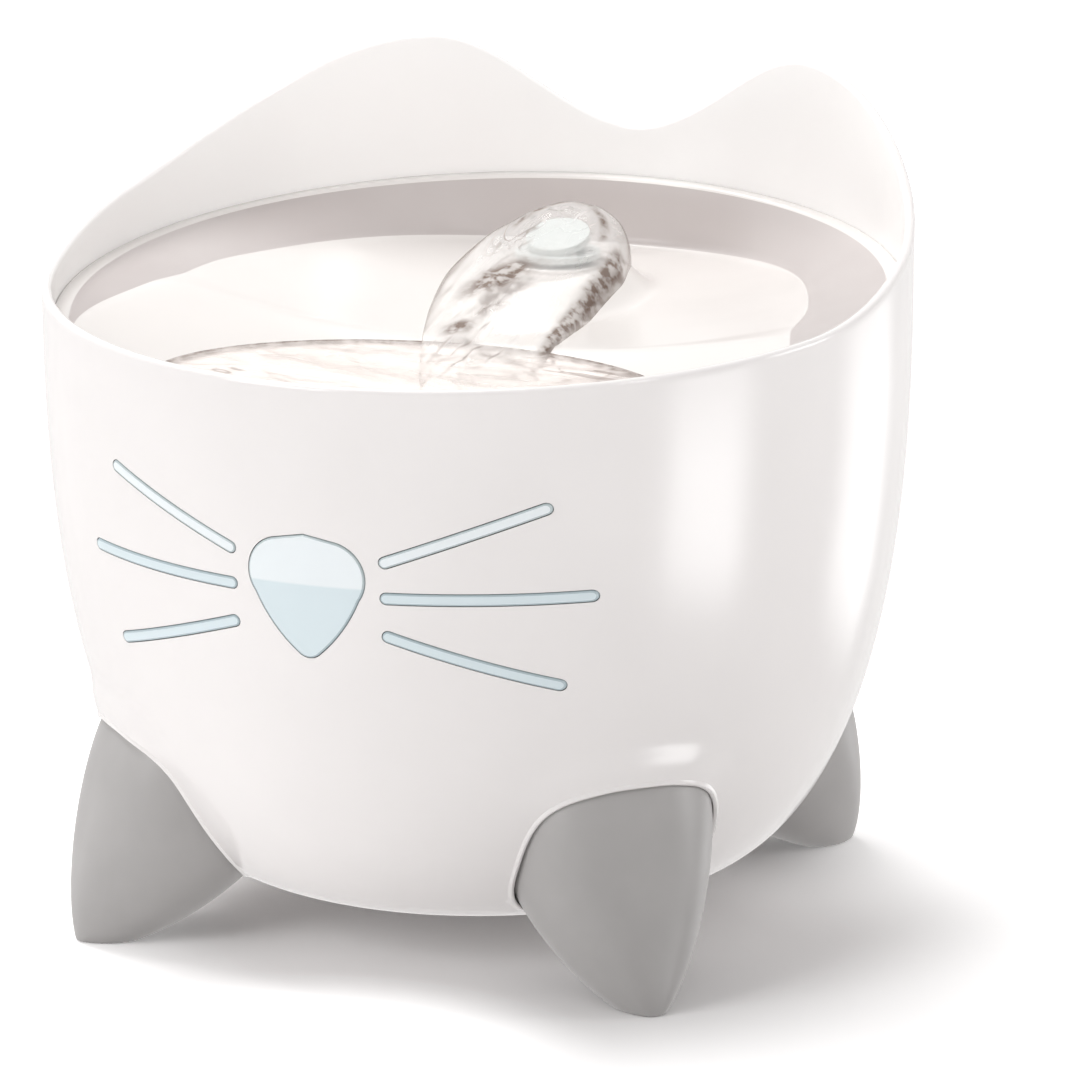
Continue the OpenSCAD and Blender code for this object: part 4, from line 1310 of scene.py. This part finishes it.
@dataclass
class Feet:
    """Four horn-shaped feet, each cut flat where it stands."""

    rings: int = 40
    points: int = 96
    tip_reach: float = 27.0
    tip_cut: float = 2.0
    fullness: float = 1.37
    last_ring: float = 0.995
    sharp: float = 50.0

    def build(self) -> None:
        """Makes the four feet."""
        names = ("foot_front_right", "foot_front_left", "foot_rear_right", "foot_rear_left")
        for name, angle in zip(names, FORM.foot_angles):
            place_piece(self.horn(name, angle), Body.TANK, "foot_grey", name)

    def horn(self, name: str, angle: float) -> bpy.types.Object:
        """Makes one foot.

        Args:
            name: Its node.
            angle: Its angle round the tank.

        Returns:
            The foot.
        """
        mesher = Mesher()
        phi = ring_angles(self.points)
        fit = 1 - FIT / FORM.seat_b
        drop = FORM.seat_z + self.tip_cut
        rows = []
        for q in self.last_ring * np.sin(np.radians(90 * np.arange(self.rings + 1) / self.rings)):
            scale = (1 - q**self.fullness) ** (1 / self.fullness)
            ring = FORM.seat_point(phi, scale * fit, FORM.seat_r + q * self.tip_reach, FORM.seat_z - q * drop)
            ring[:, 2] = np.maximum(ring[:, 2], 0.0)
            rows.append(mesher.add(turned(ring, angle)))
        mesher.rows(rows)
        mesher.fan(rows[0], turned(FORM.seat_middle, angle))
        tip = np.array([0, -(FORM.seat_r + self.last_ring * self.tip_reach), 0.0])
        mesher.fan(rows[-1], turned(tip, angle))
        return mesher.build(f"{name}_horn", [FOOT_GREY], self.sharp)


# ---------- Dish ----------


@dataclass(frozen=True)
class DishForm:
    """The rules of the drinking dish, in millimetres and degrees."""

    seen_r: float = 105.42
    flange_in: float = 102.2
    flange_t: float = 2.0
    flange_gap: float = 0.04
    wall: float = 2.0
    middle_z: float = 155.1
    slope: float = 0.099
    side_r: float = 82.0
    front_more: float = 19.4
    front_end: float = 94.0
    front_run: float = 34.0
    back_more: float = 19.2
    back_from: float = 110.0
    back_run: float = 68.0
    shore_step: float = 0.8
    pool_z: float = 141.5
    bowl_depth: float = 11.0
    bowl_w: float = 67.0
    bowl_l: float = 49.0
    bowl_y: float = -45.2
    bowl_blend: float = 0.25
    shore_y: float = 3.8
    slide_slope: float = 0.06
    trough: float = 19.5
    trough_r: float = 105.2
    side_blend: float = 0.9
    mound_h: float = 8.0
    mound_w: float = 26.0
    mound_y: float = 55.0
    mound_front: float = 42.0
    mound_back: float = 26.0
    spout_y: float = 53.0

    def edge(self, y: Array) -> Array:
        """Gives the height of the edge's plane."""
        return self.middle_z + self.slope * y

    def basin(self, angle: Array) -> Array:
        """Gives the radius at which the floor ends."""
        a = np.abs(wrapped(angle))
        front = self.front_more * smooth((self.front_end - a) / self.front_run)
        return self.side_r + front + self.back_more * smooth((a - self.back_from) / self.back_run)

    def oval(self, x: Array, y: Array) -> Array:
        """Gives the square of the share from the pool's middle to its shore."""
        return (x / self.bowl_w) ** 2 + ((y - self.bowl_y) / self.bowl_l) ** 2

    def floor(self, x: Array | float, y: Array | float) -> Array:
        """Gives the floor's height: a bowl, a slide that dips in its middle and a mound at the spout.

        Args:
            x: Places across.
            y: Places from front to back.

        Returns:
            The height at each place.
        """
        slide = self.pool_z + self.slide_slope * np.maximum(0, y - self.shore_y)
        slide = slide + self.trough * (x / self.trough_r) ** 2
        bowl = self.pool_z + self.bowl_depth * (self.oval(x, y) - 1)
        base = self.lower(slide, bowl, self.bowl_blend)
        base = self.lower(base, self.edge(y) - self.shore_step, self.side_blend)
        reach = np.where(y < self.mound_y, self.mound_front, self.mound_back)
        away = np.hypot(x / self.mound_w, (y - self.mound_y) / reach)
        return base + self.mound_h * smooth((1 - away) / 0.5)

    @staticmethod
    def lower(one: Array, other: Array, blend: float) -> Array:
        """Gives the lower of two heights, eased where they meet."""
        gap = np.clip(np.abs(one - other) / blend, 0, 30)
        return np.minimum(one, other) - blend * np.log1p(np.exp(-gap))

    def on_floor(self, radius: Array | float, angles: Array) -> Array:
        """Gives a ring that lies on the floor."""
        ring = polar(radius, angles, 0)
        ring[:, 2] = self.floor(ring[:, 0], ring[:, 1])
        return ring

    def on_edge(self, radius: Array | float, angles: Array) -> Array:
        """Gives a ring in the edge's plane."""
        ring = polar(radius, angles, 0)
        ring[:, 2] = self.edge(ring[:, 1])
        return ring


DISH = DishForm()


def bend(start: Array, corner: Array, end: Array, share: float) -> Array:
    """Gives the points at a share of curves that round a corner."""
    return (1 - share) ** 2 * start + 2 * share * (1 - share) * corner + share * share * end


@dataclass
class Dish:
    """The dish: pool, slide and mound, rising sides with soft corners, a flange and drain slots."""

    rings: int = 60
    column: float = 1.25
    clearance: float = 0.45
    slots: int = 11
    slot_w: float = 2.5
    slot_in: float = 95.2
    slot_span: float = 60.0
    basin_front: float = 101.4
    thinner: float = 0.3
    corner_reach: float = 2.6
    corner_share: float = 0.35
    lip: float = 0.9
    side_out: float = 1.3
    rounding: float = 0.25
    dip: float = 0.07
    bevel: float = 0.4
    boss: tuple[tuple[float, float], ...] = (
        (6.0, 141.4),
        (12.0, 141.4),
        (12.0, 152.6),
        (11.6, 152.95),
        (6.0, 152.95),
    )
    sharp: float = 35.0

    def columns(self) -> tuple[Array, Array]:
        """Sets out the columns.

        Returns:
            The angles of the columns, and for each whether a slot lies between it and the next.
        """
        half = math.degrees(math.asin(self.slot_w / 2 / self.basin_front))
        middles = self.slot_span * (np.arange(self.slots) / (self.slots - 1) - 0.5)
        marks = np.concatenate([[m - half, m + half] for m in middles])
        plain = np.arange(-180, 180, self.column)
        clear = np.abs(plain[:, None] - marks[None]).min(1) > self.clearance
        angles = np.sort(np.concatenate([plain[clear], marks]))
        off = angles[:, None] - middles[None] + 1e-6
        return angles, ((off > -half) & (off < half)).any(1)

    def stations(self, angles: Array) -> tuple[list[Array], list[Array], int, int]:
        """Gives the rings of the upper and lower faces, from the middle out to the flange.

        Args:
            angles: The columns' angles.

        Returns:
            The upper rings, the lower rings, and the rings between which slots are open.
        """
        basin, slot_share = DISH.basin(angles), self.slot_in / self.basin_front
        shares = np.sort(np.append(np.linspace(0, 1, self.rings + 1)[1:-2], slot_share))
        upper, lower = [], []
        for share in shares:
            upper.append(DISH.on_floor(share * basin, angles))
            under = upper[-1][:, 2] - DISH.wall
            lower.append(polar(share * basin + share * (DISH.wall - self.thinner), angles, under))
        corner, top = DISH.on_floor(basin, angles), DISH.on_edge(DISH.flange_in, angles)
        before, rise = upper[-1], top - corner
        length = np.linalg.norm(rise, axis=1)[:, None]
        after = corner + rise * np.minimum(self.corner_reach / length, self.corner_share)
        low_corner = polar(basin + DISH.wall - self.thinner, angles, corner[:, 2] - DISH.wall)
        low_top = polar(DISH.flange_in + self.side_out, angles, top[:, 2] - DISH.flange_t)
        low_rise = low_top - low_corner
        for t in (0.25, 0.5, 0.75, 1.0):
            upper.append(bend(before, corner, after, t))
            lower.append(low_corner + low_rise * 0.3 * t if t > 0.5 else (lower[-1] + low_corner) / 2)
        end = top - rise / length * self.lip
        for t in (0.35, 0.7, 1.0):
            upper.append(after + (end - after) * t)
            lower.append(low_corner + low_rise * (0.3 + 0.5 * t))
        closed = len(upper) - 1
        over = DISH.on_edge(DISH.flange_in + self.lip, angles)
        for t in (0.33, 0.67, 1.0):
            upper.append(bend(end, top, over, t))
            lower.append(low_corner + low_rise * (0.8 + 0.2 * t))
        return upper, lower, int(np.searchsorted(shares, slot_share)), closed

    def build(self) -> None:
        """Makes the dish."""
        mesher = Mesher()
        angles, slot = self.columns()
        upper, lower, opened, closed = self.stations(angles)
        top, low = ([mesher.add(ring) for ring in rings] for rings in (upper, lower))
        count = len(angles)
        # The drawn-up sides of the upper face take the greyer finish, which is painted shade
        for rows, side_shade_tone in ((top, 1), (low, 0)):
            for j in range(len(rows) - 1):
                mesher.tone = side_shade_tone if self.rings <= j < closed else 0
                for i in range(count):
                    if not (slot[i] and opened <= j < closed):
                        k = (i + 1) % count
                        mesher.face(rows[j][i], rows[j][k], rows[j + 1][k], rows[j + 1][i])
        mesher.tone = 0
        self.slot_walls(mesher, slot, (top, low), (opened, closed))
        r, under = DISH.seen_r, -DISH.flange_t
        edge = DISH.on_edge(r, angles)[:, 2]
        profile = [(r - self.rounding, 0.0), (r - self.dip, -self.dip), (r, -self.rounding)]
        profile += [(r, under + self.bevel), (r - self.bevel, under)]
        outer = [mesher.ring(radius, angles, edge + lift) for radius, lift in profile]
        mesher.rows([top[-1], *outer, low[-1]])
        middle = float(DISH.floor(0.0, 0.0))
        mesher.fan(top[0], (0, 0, middle))
        mesher.fan(low[0], (0, 0, middle - DISH.wall))
        spout = np.array([0.0, DISH.spout_y, 0.0])
        boss = [mesher.add(polar(radius, ring_angles(64), z) + spout) for radius, z in self.boss]
        mesher.rows([*boss, boss[0]])
        dish = mesher.build("dish_basin", [DISH_WHITE, DISH_SIDE_PAINTED_SHADE], self.sharp)
        place_piece(dish, Body.DISH, "dish_white", "drinking_dish")

    @staticmethod
    def slot_walls(
        mesher: Mesher, slot: Array, faces: tuple[list[Array], list[Array]], ends: tuple[int, int]
    ) -> None:
        """Closes the sides and ends of the slots.

        Args:
            mesher: The dish's mesher.
            slot: Whether a slot lies between each column and the next.
            faces: The rings of the upper and the lower face.
            ends: The rings between which slots are open.
        """
        top, low = faces
        for i, here in enumerate(slot):
            if here != slot[i - 1]:
                for j in range(*ends):
                    mesher.face(top[j][i], top[j + 1][i], low[j + 1][i], low[j][i])
            if here:
                k = (i + 1) % len(slot)
                for j in ends:
                    mesher.face(top[j][i], top[j][k], low[j][k], low[j][i])


# ---------- Water ----------


def shade_folds(thing: bpy.types.Object, rule: Callable[[Array], Array]) -> None:
    """Notes on each point of a water piece how much shade is painted on it for its folds.

    Args:
        thing: The water piece.
        rule: Gives the share, 0 to 1, of points in millimetres.
    """
    mesh = thing.data
    flat = np.zeros(len(mesh.vertices) * 3)
    mesh.vertices.foreach_get("co", flat)
    share = np.clip(rule(flat.reshape(-1, 3) / MM), 0.0, 1.0)
    mesh.attributes.new("fold", "FLOAT", "POINT").data.foreach_set("value", share)


def lay_water(mesher: Mesher, name: str, finish: Water, rule: Callable[[Array], Array]) -> None:
    """Makes a piece of the dish's water, so thin and clear that it throws no shadow.

    Args:
        mesher: The piece's mesher.
        name: Its name.
        finish: Its finish.
        rule: Says how much painted shade its folds give each point.
    """
    water = mesher.build(name, [finish], 60.0)
    shade_folds(water, rule)
    water.visible_shadow = False
    place_piece(water, Body.DISH, "")


def border(grid: Array) -> Array:
    """Gives what stands along the edge of a grid, in order round it."""
    return np.concatenate([grid[0, :], grid[1:, -1], grid[-1, -2::-1], grid[-2:0:-1, 0]])


@dataclass
class RunningWater:
    """The sheet that wells over the cap and slides to the pool.

    The tables give its half width, sideways shift and crest at places along its path, and each ripple
    is its height, its turns across and along, and its start.
    """

    steps: int = 150
    across: int = 80
    path_y: tuple[float, ...] = (-24, -14, -4, 8, 20, 32, 42, 50, 57, 63, 68, 73)
    half: tuple[float, ...] = (10, 14, 16.5, 18.4, 20.4, 22, 23.3, 23.1, 20.1, 16.4, 14.5, 9)
    shift: tuple[float, ...] = (5, 3.8, 2.5, 0.2, -1.8, -3.4, -4.2, -3.8, -2.2, 0, 0, 0)
    top: tuple[float, ...] = (140.8, 141.8, 143.4, 146.8, 150.6, 154.4, 157.4, 160.4, 163, 166.2, 166, 158)
    ripples: tuple[tuple[float, ...], ...] = (
        (0.28, 0.75, 0.05, 0.0),
        (0.2, 1.15, -0.2, 1.3),
        (0.16, 0.3, 0.6, 0.0),
    )

    def build(self) -> None:
        """Makes the stream as a closed sheet over the floor."""
        mesher = Mesher()
        along = np.linspace(self.path_y[0], self.path_y[-1], self.steps)
        spread = np.sin(np.radians(np.linspace(-90, 90, self.across)))
        y, t = np.meshgrid(along, spread, indexing="ij")
        x = self.ease(y, self.shift) + self.ease(y, self.half) * t
        floor = DISH.floor(x, y) + 0.15
        crest = np.maximum(self.ease(y, self.top), DISH.floor(np.zeros_like(x), y) + 0.8)
        arch = 1 - t**2
        body = floor + np.maximum(crest - floor, 0.6) * np.clip(arch, 0, 1) ** 0.42
        wave = sum(height * np.sin(u * x + v * y + start) for height, u, v, start in self.ripples)
        grow = 0.35 + np.clip((50 - y) / 60, 0, 1)
        z = np.maximum(body + 1.1 * wave * grow * arch, floor + 0.02)
        top, low = (mesher.add(np.stack([x, y, height], -1)) for height in (z, floor - 0.1))
        for grid in (top, low):
            mesher.rows(list(grid), False)
        mesher.bridge(border(low), border(top))
        lay_water(mesher, "stream_water", STREAM, self.folds)

    def folds(self, points: Array) -> Array:
        """Says where shade is painted: along its right edge, left of its middle, at its foot, round the cap.

        Args:
            points: Points in millimetres.

        Returns:
            The depth of the painted shade at each point.
        """
        x, y = points[:, 0], points[:, 1]
        u = (x - self.ease(y, self.shift)) / self.ease(y, self.half)
        edge = 1.2 * bell((u - 0.93) / 0.1) * smooth((y + 8) / 10) * smooth((62 - y) / 14)
        along, aside = 0.52 * (x + 6) + 0.86 * (y - 29), 0.86 * (x + 6) - 0.52 * (y - 29)
        left = 1.3 * blot(along, aside, (0.0, 0.0), (12.5, 6.0))
        foot = 1.2 * blot(x, y, (-7.0, 4.0), (5.0, 4.0)) + 0.8 * blot(x, y, (10.0, -9.0), (9.0, 3.0))
        behind = y - DISH.spout_y
        return edge + left + foot + bell((np.hypot(x, behind) - 12.0) / 1.5) * smooth((behind + 6) / 10)

    def ease(self, y: Array, values: tuple[float, ...]) -> Array:
        """Reads a table along the stream, softened."""
        fine = np.linspace(self.path_y[0], self.path_y[-1], 240)
        kernel = np.hanning(27)
        padded = np.pad(np.interp(fine, self.path_y, values), 13, mode="edge")
        return np.interp(y, fine, np.convolve(padded, kernel / kernel.sum(), mode="valid"))


@dataclass
class PoolWater:
    """The pool in the dish, with rings running out from the stream's foot.

    Each stirred patch is its depth of painted shade, its middle and its reach.
    """

    rings: int = 90
    points: int = 144
    reach: float = 0.985
    stirred: tuple[tuple[float, tuple[float, float], tuple[float, float]], ...] = (
        (0.5, (-4.0, -12.0), (22.0, 4.0)),
        (0.35, (18.0, -22.0), (26.0, 4.0)),
        (0.5, (-32.0, -15.0), (13.0, 2.5)),
        (0.5, (32.0, -12.0), (13.0, 2.5)),
    )

    def build(self) -> None:
        """Makes the pool as a closed lens over the bowl."""
        mesher = Mesher()
        turn = np.radians(ring_angles(self.points))
        top, low = [], []
        for share in np.linspace(0, self.reach, self.rings + 1)[1:]:
            x, y = DISH.bowl_w * share * np.sin(turn), DISH.bowl_y - DISH.bowl_l * share * np.cos(turn)
            top.append(mesher.add(np.stack([x, y, DISH.pool_z + self.ripple(x, y, share)], -1)))
            bed = np.minimum(DISH.floor(x, y) + 0.06, DISH.pool_z - 0.02)
            low.append(mesher.add(np.stack([x, y, bed], -1)))
        mesher.rows(top)
        mesher.rows(low)
        mesher.bridge(top[-1], low[-1])
        mesher.fan(top[0], (0, DISH.bowl_y, DISH.pool_z))
        mesher.fan(low[0], (0, DISH.bowl_y, DISH.pool_z - DISH.bowl_depth + 0.06))
        lay_water(mesher, "pool_water", POOL, self.folds)

    @staticmethod
    def ripple(x: Array, y: Array, share: float) -> Array:
        """Gives the ripples' height: rings round the stream's foot and a cross swell, still at the shore.

        Args:
            x: Places across.
            y: Places from front to back.
            share: Share from the pool's middle to its shore.

        Returns:
            The height at each place.
        """
        away = np.hypot(x - 5, y + 10)
        stray = 1.4 * np.sin(0.11 * x + 0.6) + 1.1 * np.sin(0.19 * y - 0.07 * x)
        rings = 0.2 * np.sin(away / 2.3 + stray) * np.exp(-away / 40)
        return (rings + 0.1 * np.sin(0.31 * x + 0.55 * y + 1.5 * stray)) * smooth((1 - share) / 0.1)

    def folds(self, points: Array) -> Array:
        """Says where shade is painted on the pool: along its shore and where the stream stirs it."""
        x, y = points[:, 0], points[:, 1]
        shore = 0.9 * smooth((np.sqrt(DISH.oval(x, y)) - 0.935) / 0.03)
        return shore + sum(depth * blot(x, y, middle, reach) for depth, middle, reach in self.stirred)


@dataclass
class TankWater:
    """The still water that fills the tank to two thirds."""

    bottom: float = 15.5
    level: float = 107.0

    def build(self) -> None:
        """Makes the water as a closed body, clear of the wall and of the windows' flanges."""
        mesher = Mesher()
        angles = ring_angles(144, -180.0)
        heights = [[self.bottom], np.linspace(16.2, 40, 20), np.linspace(45, self.level, 22)]
        rows = [mesher.ring(FORM.bore(z) - FORM.wall, angles, z) for z in np.concatenate(heights)]
        mesher.rows(rows)
        mesher.fan(rows[0], (0, 0, self.bottom))
        mesher.fan(rows[-1], (0, 0, self.level))
        place_piece(mesher.build("tank_water", [STILL], 60.0), Body.TANK, "")


# ---------- Filter filling ----------


@dataclass
class GrainBed:
    """A bed of grains, laid in staggered rows by a node tree."""

    node: str
    grain_mm: float
    finish: Finish
    slot: str
    seed: int
    lumpy: float

    def tree(self) -> Tree:
        """Builds the tree that lays grains over a sheet.

        Returns:
            The tree.
        """
        tree = bpy.data.node_groups.new(f"{self.node}_grains", "GeometryNodeTree")
        for name, way, kind in (
            ("Sheet", "INPUT", "Geometry"),
            ("Grain size", "INPUT", "Float"),
            ("Lumpiness", "INPUT", "Float"),
            ("Grains", "OUTPUT", "Geometry"),
        ):
            tree.interface.new_socket(name, in_out=way, socket_type=f"NodeSocket{kind}")
        given = node(tree, "NodeGroupInput").outputs
        half = sums(tree, "MULTIPLY", given["Grain size"], 0.5)
        grain = node(tree, "GeometryNodeMeshIcoSphere", {"Radius": half, "Subdivisions": 2})
        points = node(tree, "GeometryNodeMeshToPoints", {"Mesh": given["Sheet"]})
        least = sums(tree, "SUBTRACT", 1.0, given["Lumpiness"])
        sizes = {"Seed": self.seed, "Min": least, "Max": (1.0, 1.0, 1.0)}
        spins = {"Seed": self.seed + 1, "Max": (6.28, 6.28, 6.28)}
        size, spin = (
            node(tree, "FunctionNodeRandomValue", draws, data_type="FLOAT_VECTOR").outputs["Value"]
            for draws in (sizes, spins)
        )
        laid = node(
            tree,
            "GeometryNodeInstanceOnPoints",
            {
                "Points": points.outputs["Points"],
                "Instance": grain.outputs["Mesh"],
                "Scale": size,
                "Rotation": spin,
            },
        )
        real = node(tree, "GeometryNodeRealizeInstances", {"Geometry": laid.outputs["Instances"]})
        finish = {"Geometry": real.outputs["Geometry"], "Material": self.finish.material()}
        dressed = node(tree, "GeometryNodeSetMaterial", finish)
        node(tree, "NodeGroupOutput", {"Grains": dressed.outputs["Geometry"]})
        return tree

    def spots(self, low: Vector, high: Vector) -> list[Point]:
        """Sets out the grains.

        Args:
            low: The box's lowest corner, in metres.
            high: Its highest corner.

        Returns:
            The middles of the grains, in staggered rows at half the box's height.
        """
        size = self.grain_mm * MM
        wide, deep = high.x - low.x, high.y - low.y
        nx, ny = int(wide / size), int(deep / size)
        made = []
        for j in range(ny):
            odd = j % 2
            y = low.y + size / 2 + (deep - size) * j / (ny - 1)
            for i in range(nx - odd):
                x = low.x + size / 2 + (wide - size) * (i + 0.5 * odd) / (nx - 1)
                made.append((x, y, (low.z + high.z) / 2))
        return made

    def build(self) -> None:
        """Lays the grains in the bed's box."""
        sheet = bpy.data.meshes.new(f"{self.node}_sheet")
        sheet.from_pydata(self.spots(*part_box(self.node)), [], [])
        thing = stand(f"{self.node}_sheet", sheet)
        layer = thing.modifiers.new("grains", "NODES")
        layer.node_group = self.tree()
        sizes = {"Grain size": self.grain_mm * MM, "Lumpiness": self.lumpy}
        for item in layer.node_group.interface.items_tree:
            if item.name in sizes and item.in_out == "INPUT":
                layer[item.identifier] = sizes[item.name]
        bpy.context.view_layer.update()
        graph = bpy.context.evaluated_depsgraph_get()
        made = bpy.data.meshes.new_from_object(thing.evaluated_get(graph))
        bpy.data.objects.remove(thing)
        made.shade_smooth()
        place_piece(stand(f"{self.node}_grains", made), Body.CARTRIDGE, self.slot, self.node)


# ---------- Other CAD pieces and the studio ----------


def dress_nodes(frame: dict) -> None:
    """Gives each CAD node that stays its finish.

    Args:
        frame: The loaded frame.
    """
    for name, thing in frame["nodes"].items():
        key = "suction_cup" if name.startswith("suction_cup") else name
        if key in NODE_FINISHES:
            material = NODE_FINISHES[key].material()
            thing.data.materials.clear()
            thing.data.materials.append(material)
            log.info("%s: %s", name, material.name)


def in_sight(tree: Tree) -> Socket:
    """Gives 1 where the camera looks, also through water and windows."""
    path = node(tree, "ShaderNodeLightPath").outputs
    return sums(tree, "MAXIMUM", path["Is Camera Ray"], path["Is Transmission Ray"])


@dataclass
class Studio:
    """Camera, lamps, pale floor and sky; places in millimetres, the floor's painted light in metres."""

    around: float = 22.651
    distance: float = 1515.3
    height: float = 490.7
    pan: float = -0.581
    tilt: float = 14.742
    lens: float = 208.3
    floor_r: float = 6000.0
    floor_z: float = -0.2
    glow_middle: Point = (0.022, -0.015, 0.0)
    patches: tuple[tuple[Point, Point, float], ...] = (
        ((0.016, -0.112, 0.0), (0.066, 0.046, 1.0), 0.85),
        ((0.092, 0.042, 0.0), (0.045, 0.050, 1.0), 0.12),
    )

    def build(self) -> None:
        """Sets up the studio."""
        self.camera()
        self.world()
        self.floor()
        self.lamp("key_left", (-740, -1245, 780), (0, 0, 100), (750, 750), 7.7)
        self.lamp("side_right", (1410, 513, 420), (0, 0, 90), (500, 700), 4.4)
        self.lamp("top_soft", (-650, 300, 1500), (0, 0, 0), (900, 900), 17.0)
        self.ear_lamp()
        self.card("card_right", (1040, -130, -210), (60, -60, 110), (840, 540), 4.6)
        self.card("card_edge", (610, 810, -190), (60, 0, 110), (900, 560), 2.6)

    def ear_lamp(self) -> None:
        """Adds a soft spot whose cone takes in the ears and the dish, but not the belly."""
        light = bpy.data.lights.new("ear_spot", "SPOT")
        light.energy, light.shadow_soft_size = 19.0, 0.16
        light.spot_size, light.spot_blend = math.radians(15.0), 0.7
        stand("ear_spot", light, (830, -385, 720), (-75, 70, 212))

    def camera(self) -> None:
        """Adds the camera."""
        a = math.radians(self.around)
        turn, tilt = math.radians(self.around + self.pan), math.radians(self.tilt)
        look = Vector((-math.sin(turn) * math.cos(tilt), math.cos(turn) * math.cos(tilt), -math.sin(tilt)))
        lens = bpy.data.cameras.new("camera")
        lens.lens, lens.sensor_width, lens.sensor_fit = self.lens, 36.0, "HORIZONTAL"
        lens.clip_start, lens.clip_end = 0.05, 20.0
        place = (self.distance * math.sin(a), -self.distance * math.cos(a), self.height)
        thing = stand("camera", lens, place)
        thing.rotation_euler = look.to_track_quat("-Z", "Y").to_euler()
        bpy.context.scene.camera = thing

    def lamp(self, name: str, place: Point, aim: Point, size: tuple[float, float], power: float) -> None:
        """Adds a soft rectangular lamp.

        Args:
            name: The lamp's name.
            place: Where it hangs.
            aim: The point it faces.
            size: Its width and height.
            power: Its power in watts.
        """
        light = bpy.data.lights.new(name, "AREA")
        light.shape, light.size, light.size_y = "RECTANGLE", size[0] * MM, size[1] * MM
        light.energy = power
        stand(name, light, place, aim)

    def card(self, name: str, place: Point, aim: Point, size: tuple[float, float], strength: float) -> None:
        """Adds a glowing card with soft edges that only gloss mirrors.

        Args:
            name: The card's name.
            place: Its middle.
            aim: The point it faces.
            size: Its width and height.
            strength: How bright its middle is.
        """
        toward = (Vector(aim) * MM - Vector(place) * MM).normalized()
        side = toward.cross(Vector((0, 0, 1))).normalized()
        across, along = side * size[0] * MM / 2, side.cross(toward) * size[1] * MM / 2
        mesh = bpy.data.meshes.new(name)
        corners = [-across - along, across - along, across + along, -across + along]
        mesh.from_pydata(corners, [], [(0, 1, 2, 3)])
        for spot, uv in zip(mesh.uv_layers.new(name="card").data, ((0, 0), (1, 0), (1, 1), (0, 1))):
            spot.uv = uv
        thing = stand(name, mesh, place)
        made, tree = bare_material(name)
        spread = node(tree, "ShaderNodeUVMap", uv_map="card").outputs["UV"]
        parts = node(tree, "ShaderNodeSeparateXYZ", {"Vector": spread}).outputs
        offs = (sums(tree, "ABSOLUTE", sums(tree, "SUBTRACT", parts[axis], 0.5)) for axis in ("X", "Y"))
        both = sums(tree, "MULTIPLY", *[ramp(tree, off, 0.5, 0.12, soft=True) for off in offs])
        light = node(tree, "ShaderNodeEmission", {"Strength": sums(tree, "MULTIPLY", both, strength)})
        clear = node(tree, "ShaderNodeBsdfTransparent")
        mix = node(tree, "ShaderNodeMixShader", {"Fac": both, 1: clear.outputs[0], 2: light.outputs[0]})
        cover(tree, mix.outputs[0])
        made.cycles.emission_sampling = "NONE"
        mesh.materials.append(made)
        thing.visible_camera = thing.visible_diffuse = False
        thing.visible_transmission = thing.visible_shadow = False

    def world(self) -> None:
        """Makes a plain sky that looks white to the camera, gloss and glass."""
        world = bpy.data.worlds.new("studio")
        bpy.context.scene.world = world
        world.use_nodes = True
        tree = world.node_tree
        tree.nodes.clear()
        glossy = node(tree, "ShaderNodeLightPath").outputs["Is Glossy Ray"]
        share = sums(tree, "MAXIMUM", in_sight(tree), sums(tree, "MULTIPLY", glossy, 0.86))
        strength = ramp(tree, share, 0.0, 1.0, 0.46, 1.0)
        sky = node(tree, "ShaderNodeBackground", {"Color": linear("#FFFDFC"), "Strength": strength})
        node(tree, "ShaderNodeOutputWorld", {"Surface": sky.outputs["Background"]})

    def floor(self) -> None:
        """Lays a wide pale floor that keeps the shadow, with painted light that only the camera sees; it
        grows away from the tank and thins the shadow in two patches.
        """
        mesher = Mesher()
        mesher.fan(mesher.ring(self.floor_r, ring_angles(64), self.floor_z), (0, 0, self.floor_z))
        mesh = mesher.mesh("studio_floor")
        thing = stand("studio_floor", mesh)
        made, tree = bare_material("studio_paper")
        away = self.away(tree, self.glow_middle, (1.0, 1.0, 1.0))
        near, far = ramp(tree, away, 0.07, 0.13, 0.0, 0.4, True), ramp(tree, away, 0.4, 1.5, 0.0, 0.6)
        pale = sums(tree, "ADD", near, far)
        # Two patches of painted light, before the belly and beside the rear right foot, thin the shadow
        # there.
        for middle, reach, amount in self.patches:
            patch = ramp(tree, self.away(tree, middle, reach), 0.0, 1.0, amount, 0.0, True)
            pale = sums(tree, "ADD", pale, patch)
        glow = sums(tree, "MULTIPLY", in_sight(tree), pale)
        paper = node(tree, "ShaderNodeBsdfDiffuse", {"Color": linear("#FAF9F9")})
        light = node(tree, "ShaderNodeEmission", {"Color": linear("#FFFFFF"), "Strength": glow})
        both = node(tree, "ShaderNodeAddShader", {0: paper.outputs[0], 1: light.outputs[0]})
        cover(tree, both.outputs[0])
        mesh.materials.append(made)
        thing.visible_glossy = False

    @staticmethod
    def away(tree: Tree, middle: Point, reach: Point) -> Socket:
        """Gives the distance from a point of the floor, as a share of a reach on each axis."""
        place = node(tree, "ShaderNodeTexCoord").outputs["Object"]
        off = node(tree, "ShaderNodeVectorMath", {0: place, 1: middle}, operation="SUBTRACT")
        share = node(tree, "ShaderNodeVectorMath", {0: off.outputs[0], 1: reach}, operation="DIVIDE")
        size = node(tree, "ShaderNodeVectorMath", {0: share.outputs[0]}, operation="LENGTH")
        return size.outputs["Value"]


def main() -> None:
    """Builds the whole scene and notes its sizes."""
    logging.basicConfig(level=logging.INFO, format="%(name)s: %(message)s")
    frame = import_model()
    bpy.context.scene.view_settings.view_transform = "Standard"
    Studio().build()
    Tank().build()
    Windows().build()
    Feet().build()
    Dish().build()
    RunningWater().build()
    PoolWater().build()
    TankWater().build()
    GrainBed("resin_bed", 2.9, RESIN, "resin_amber", 3, 0.08).build()
    GrainBed("carbon_bed", 3.2, CARBON, "carbon_black", 7, 0.35).build()
    dress_nodes(frame)


if __name__ == "__main__":
    main()
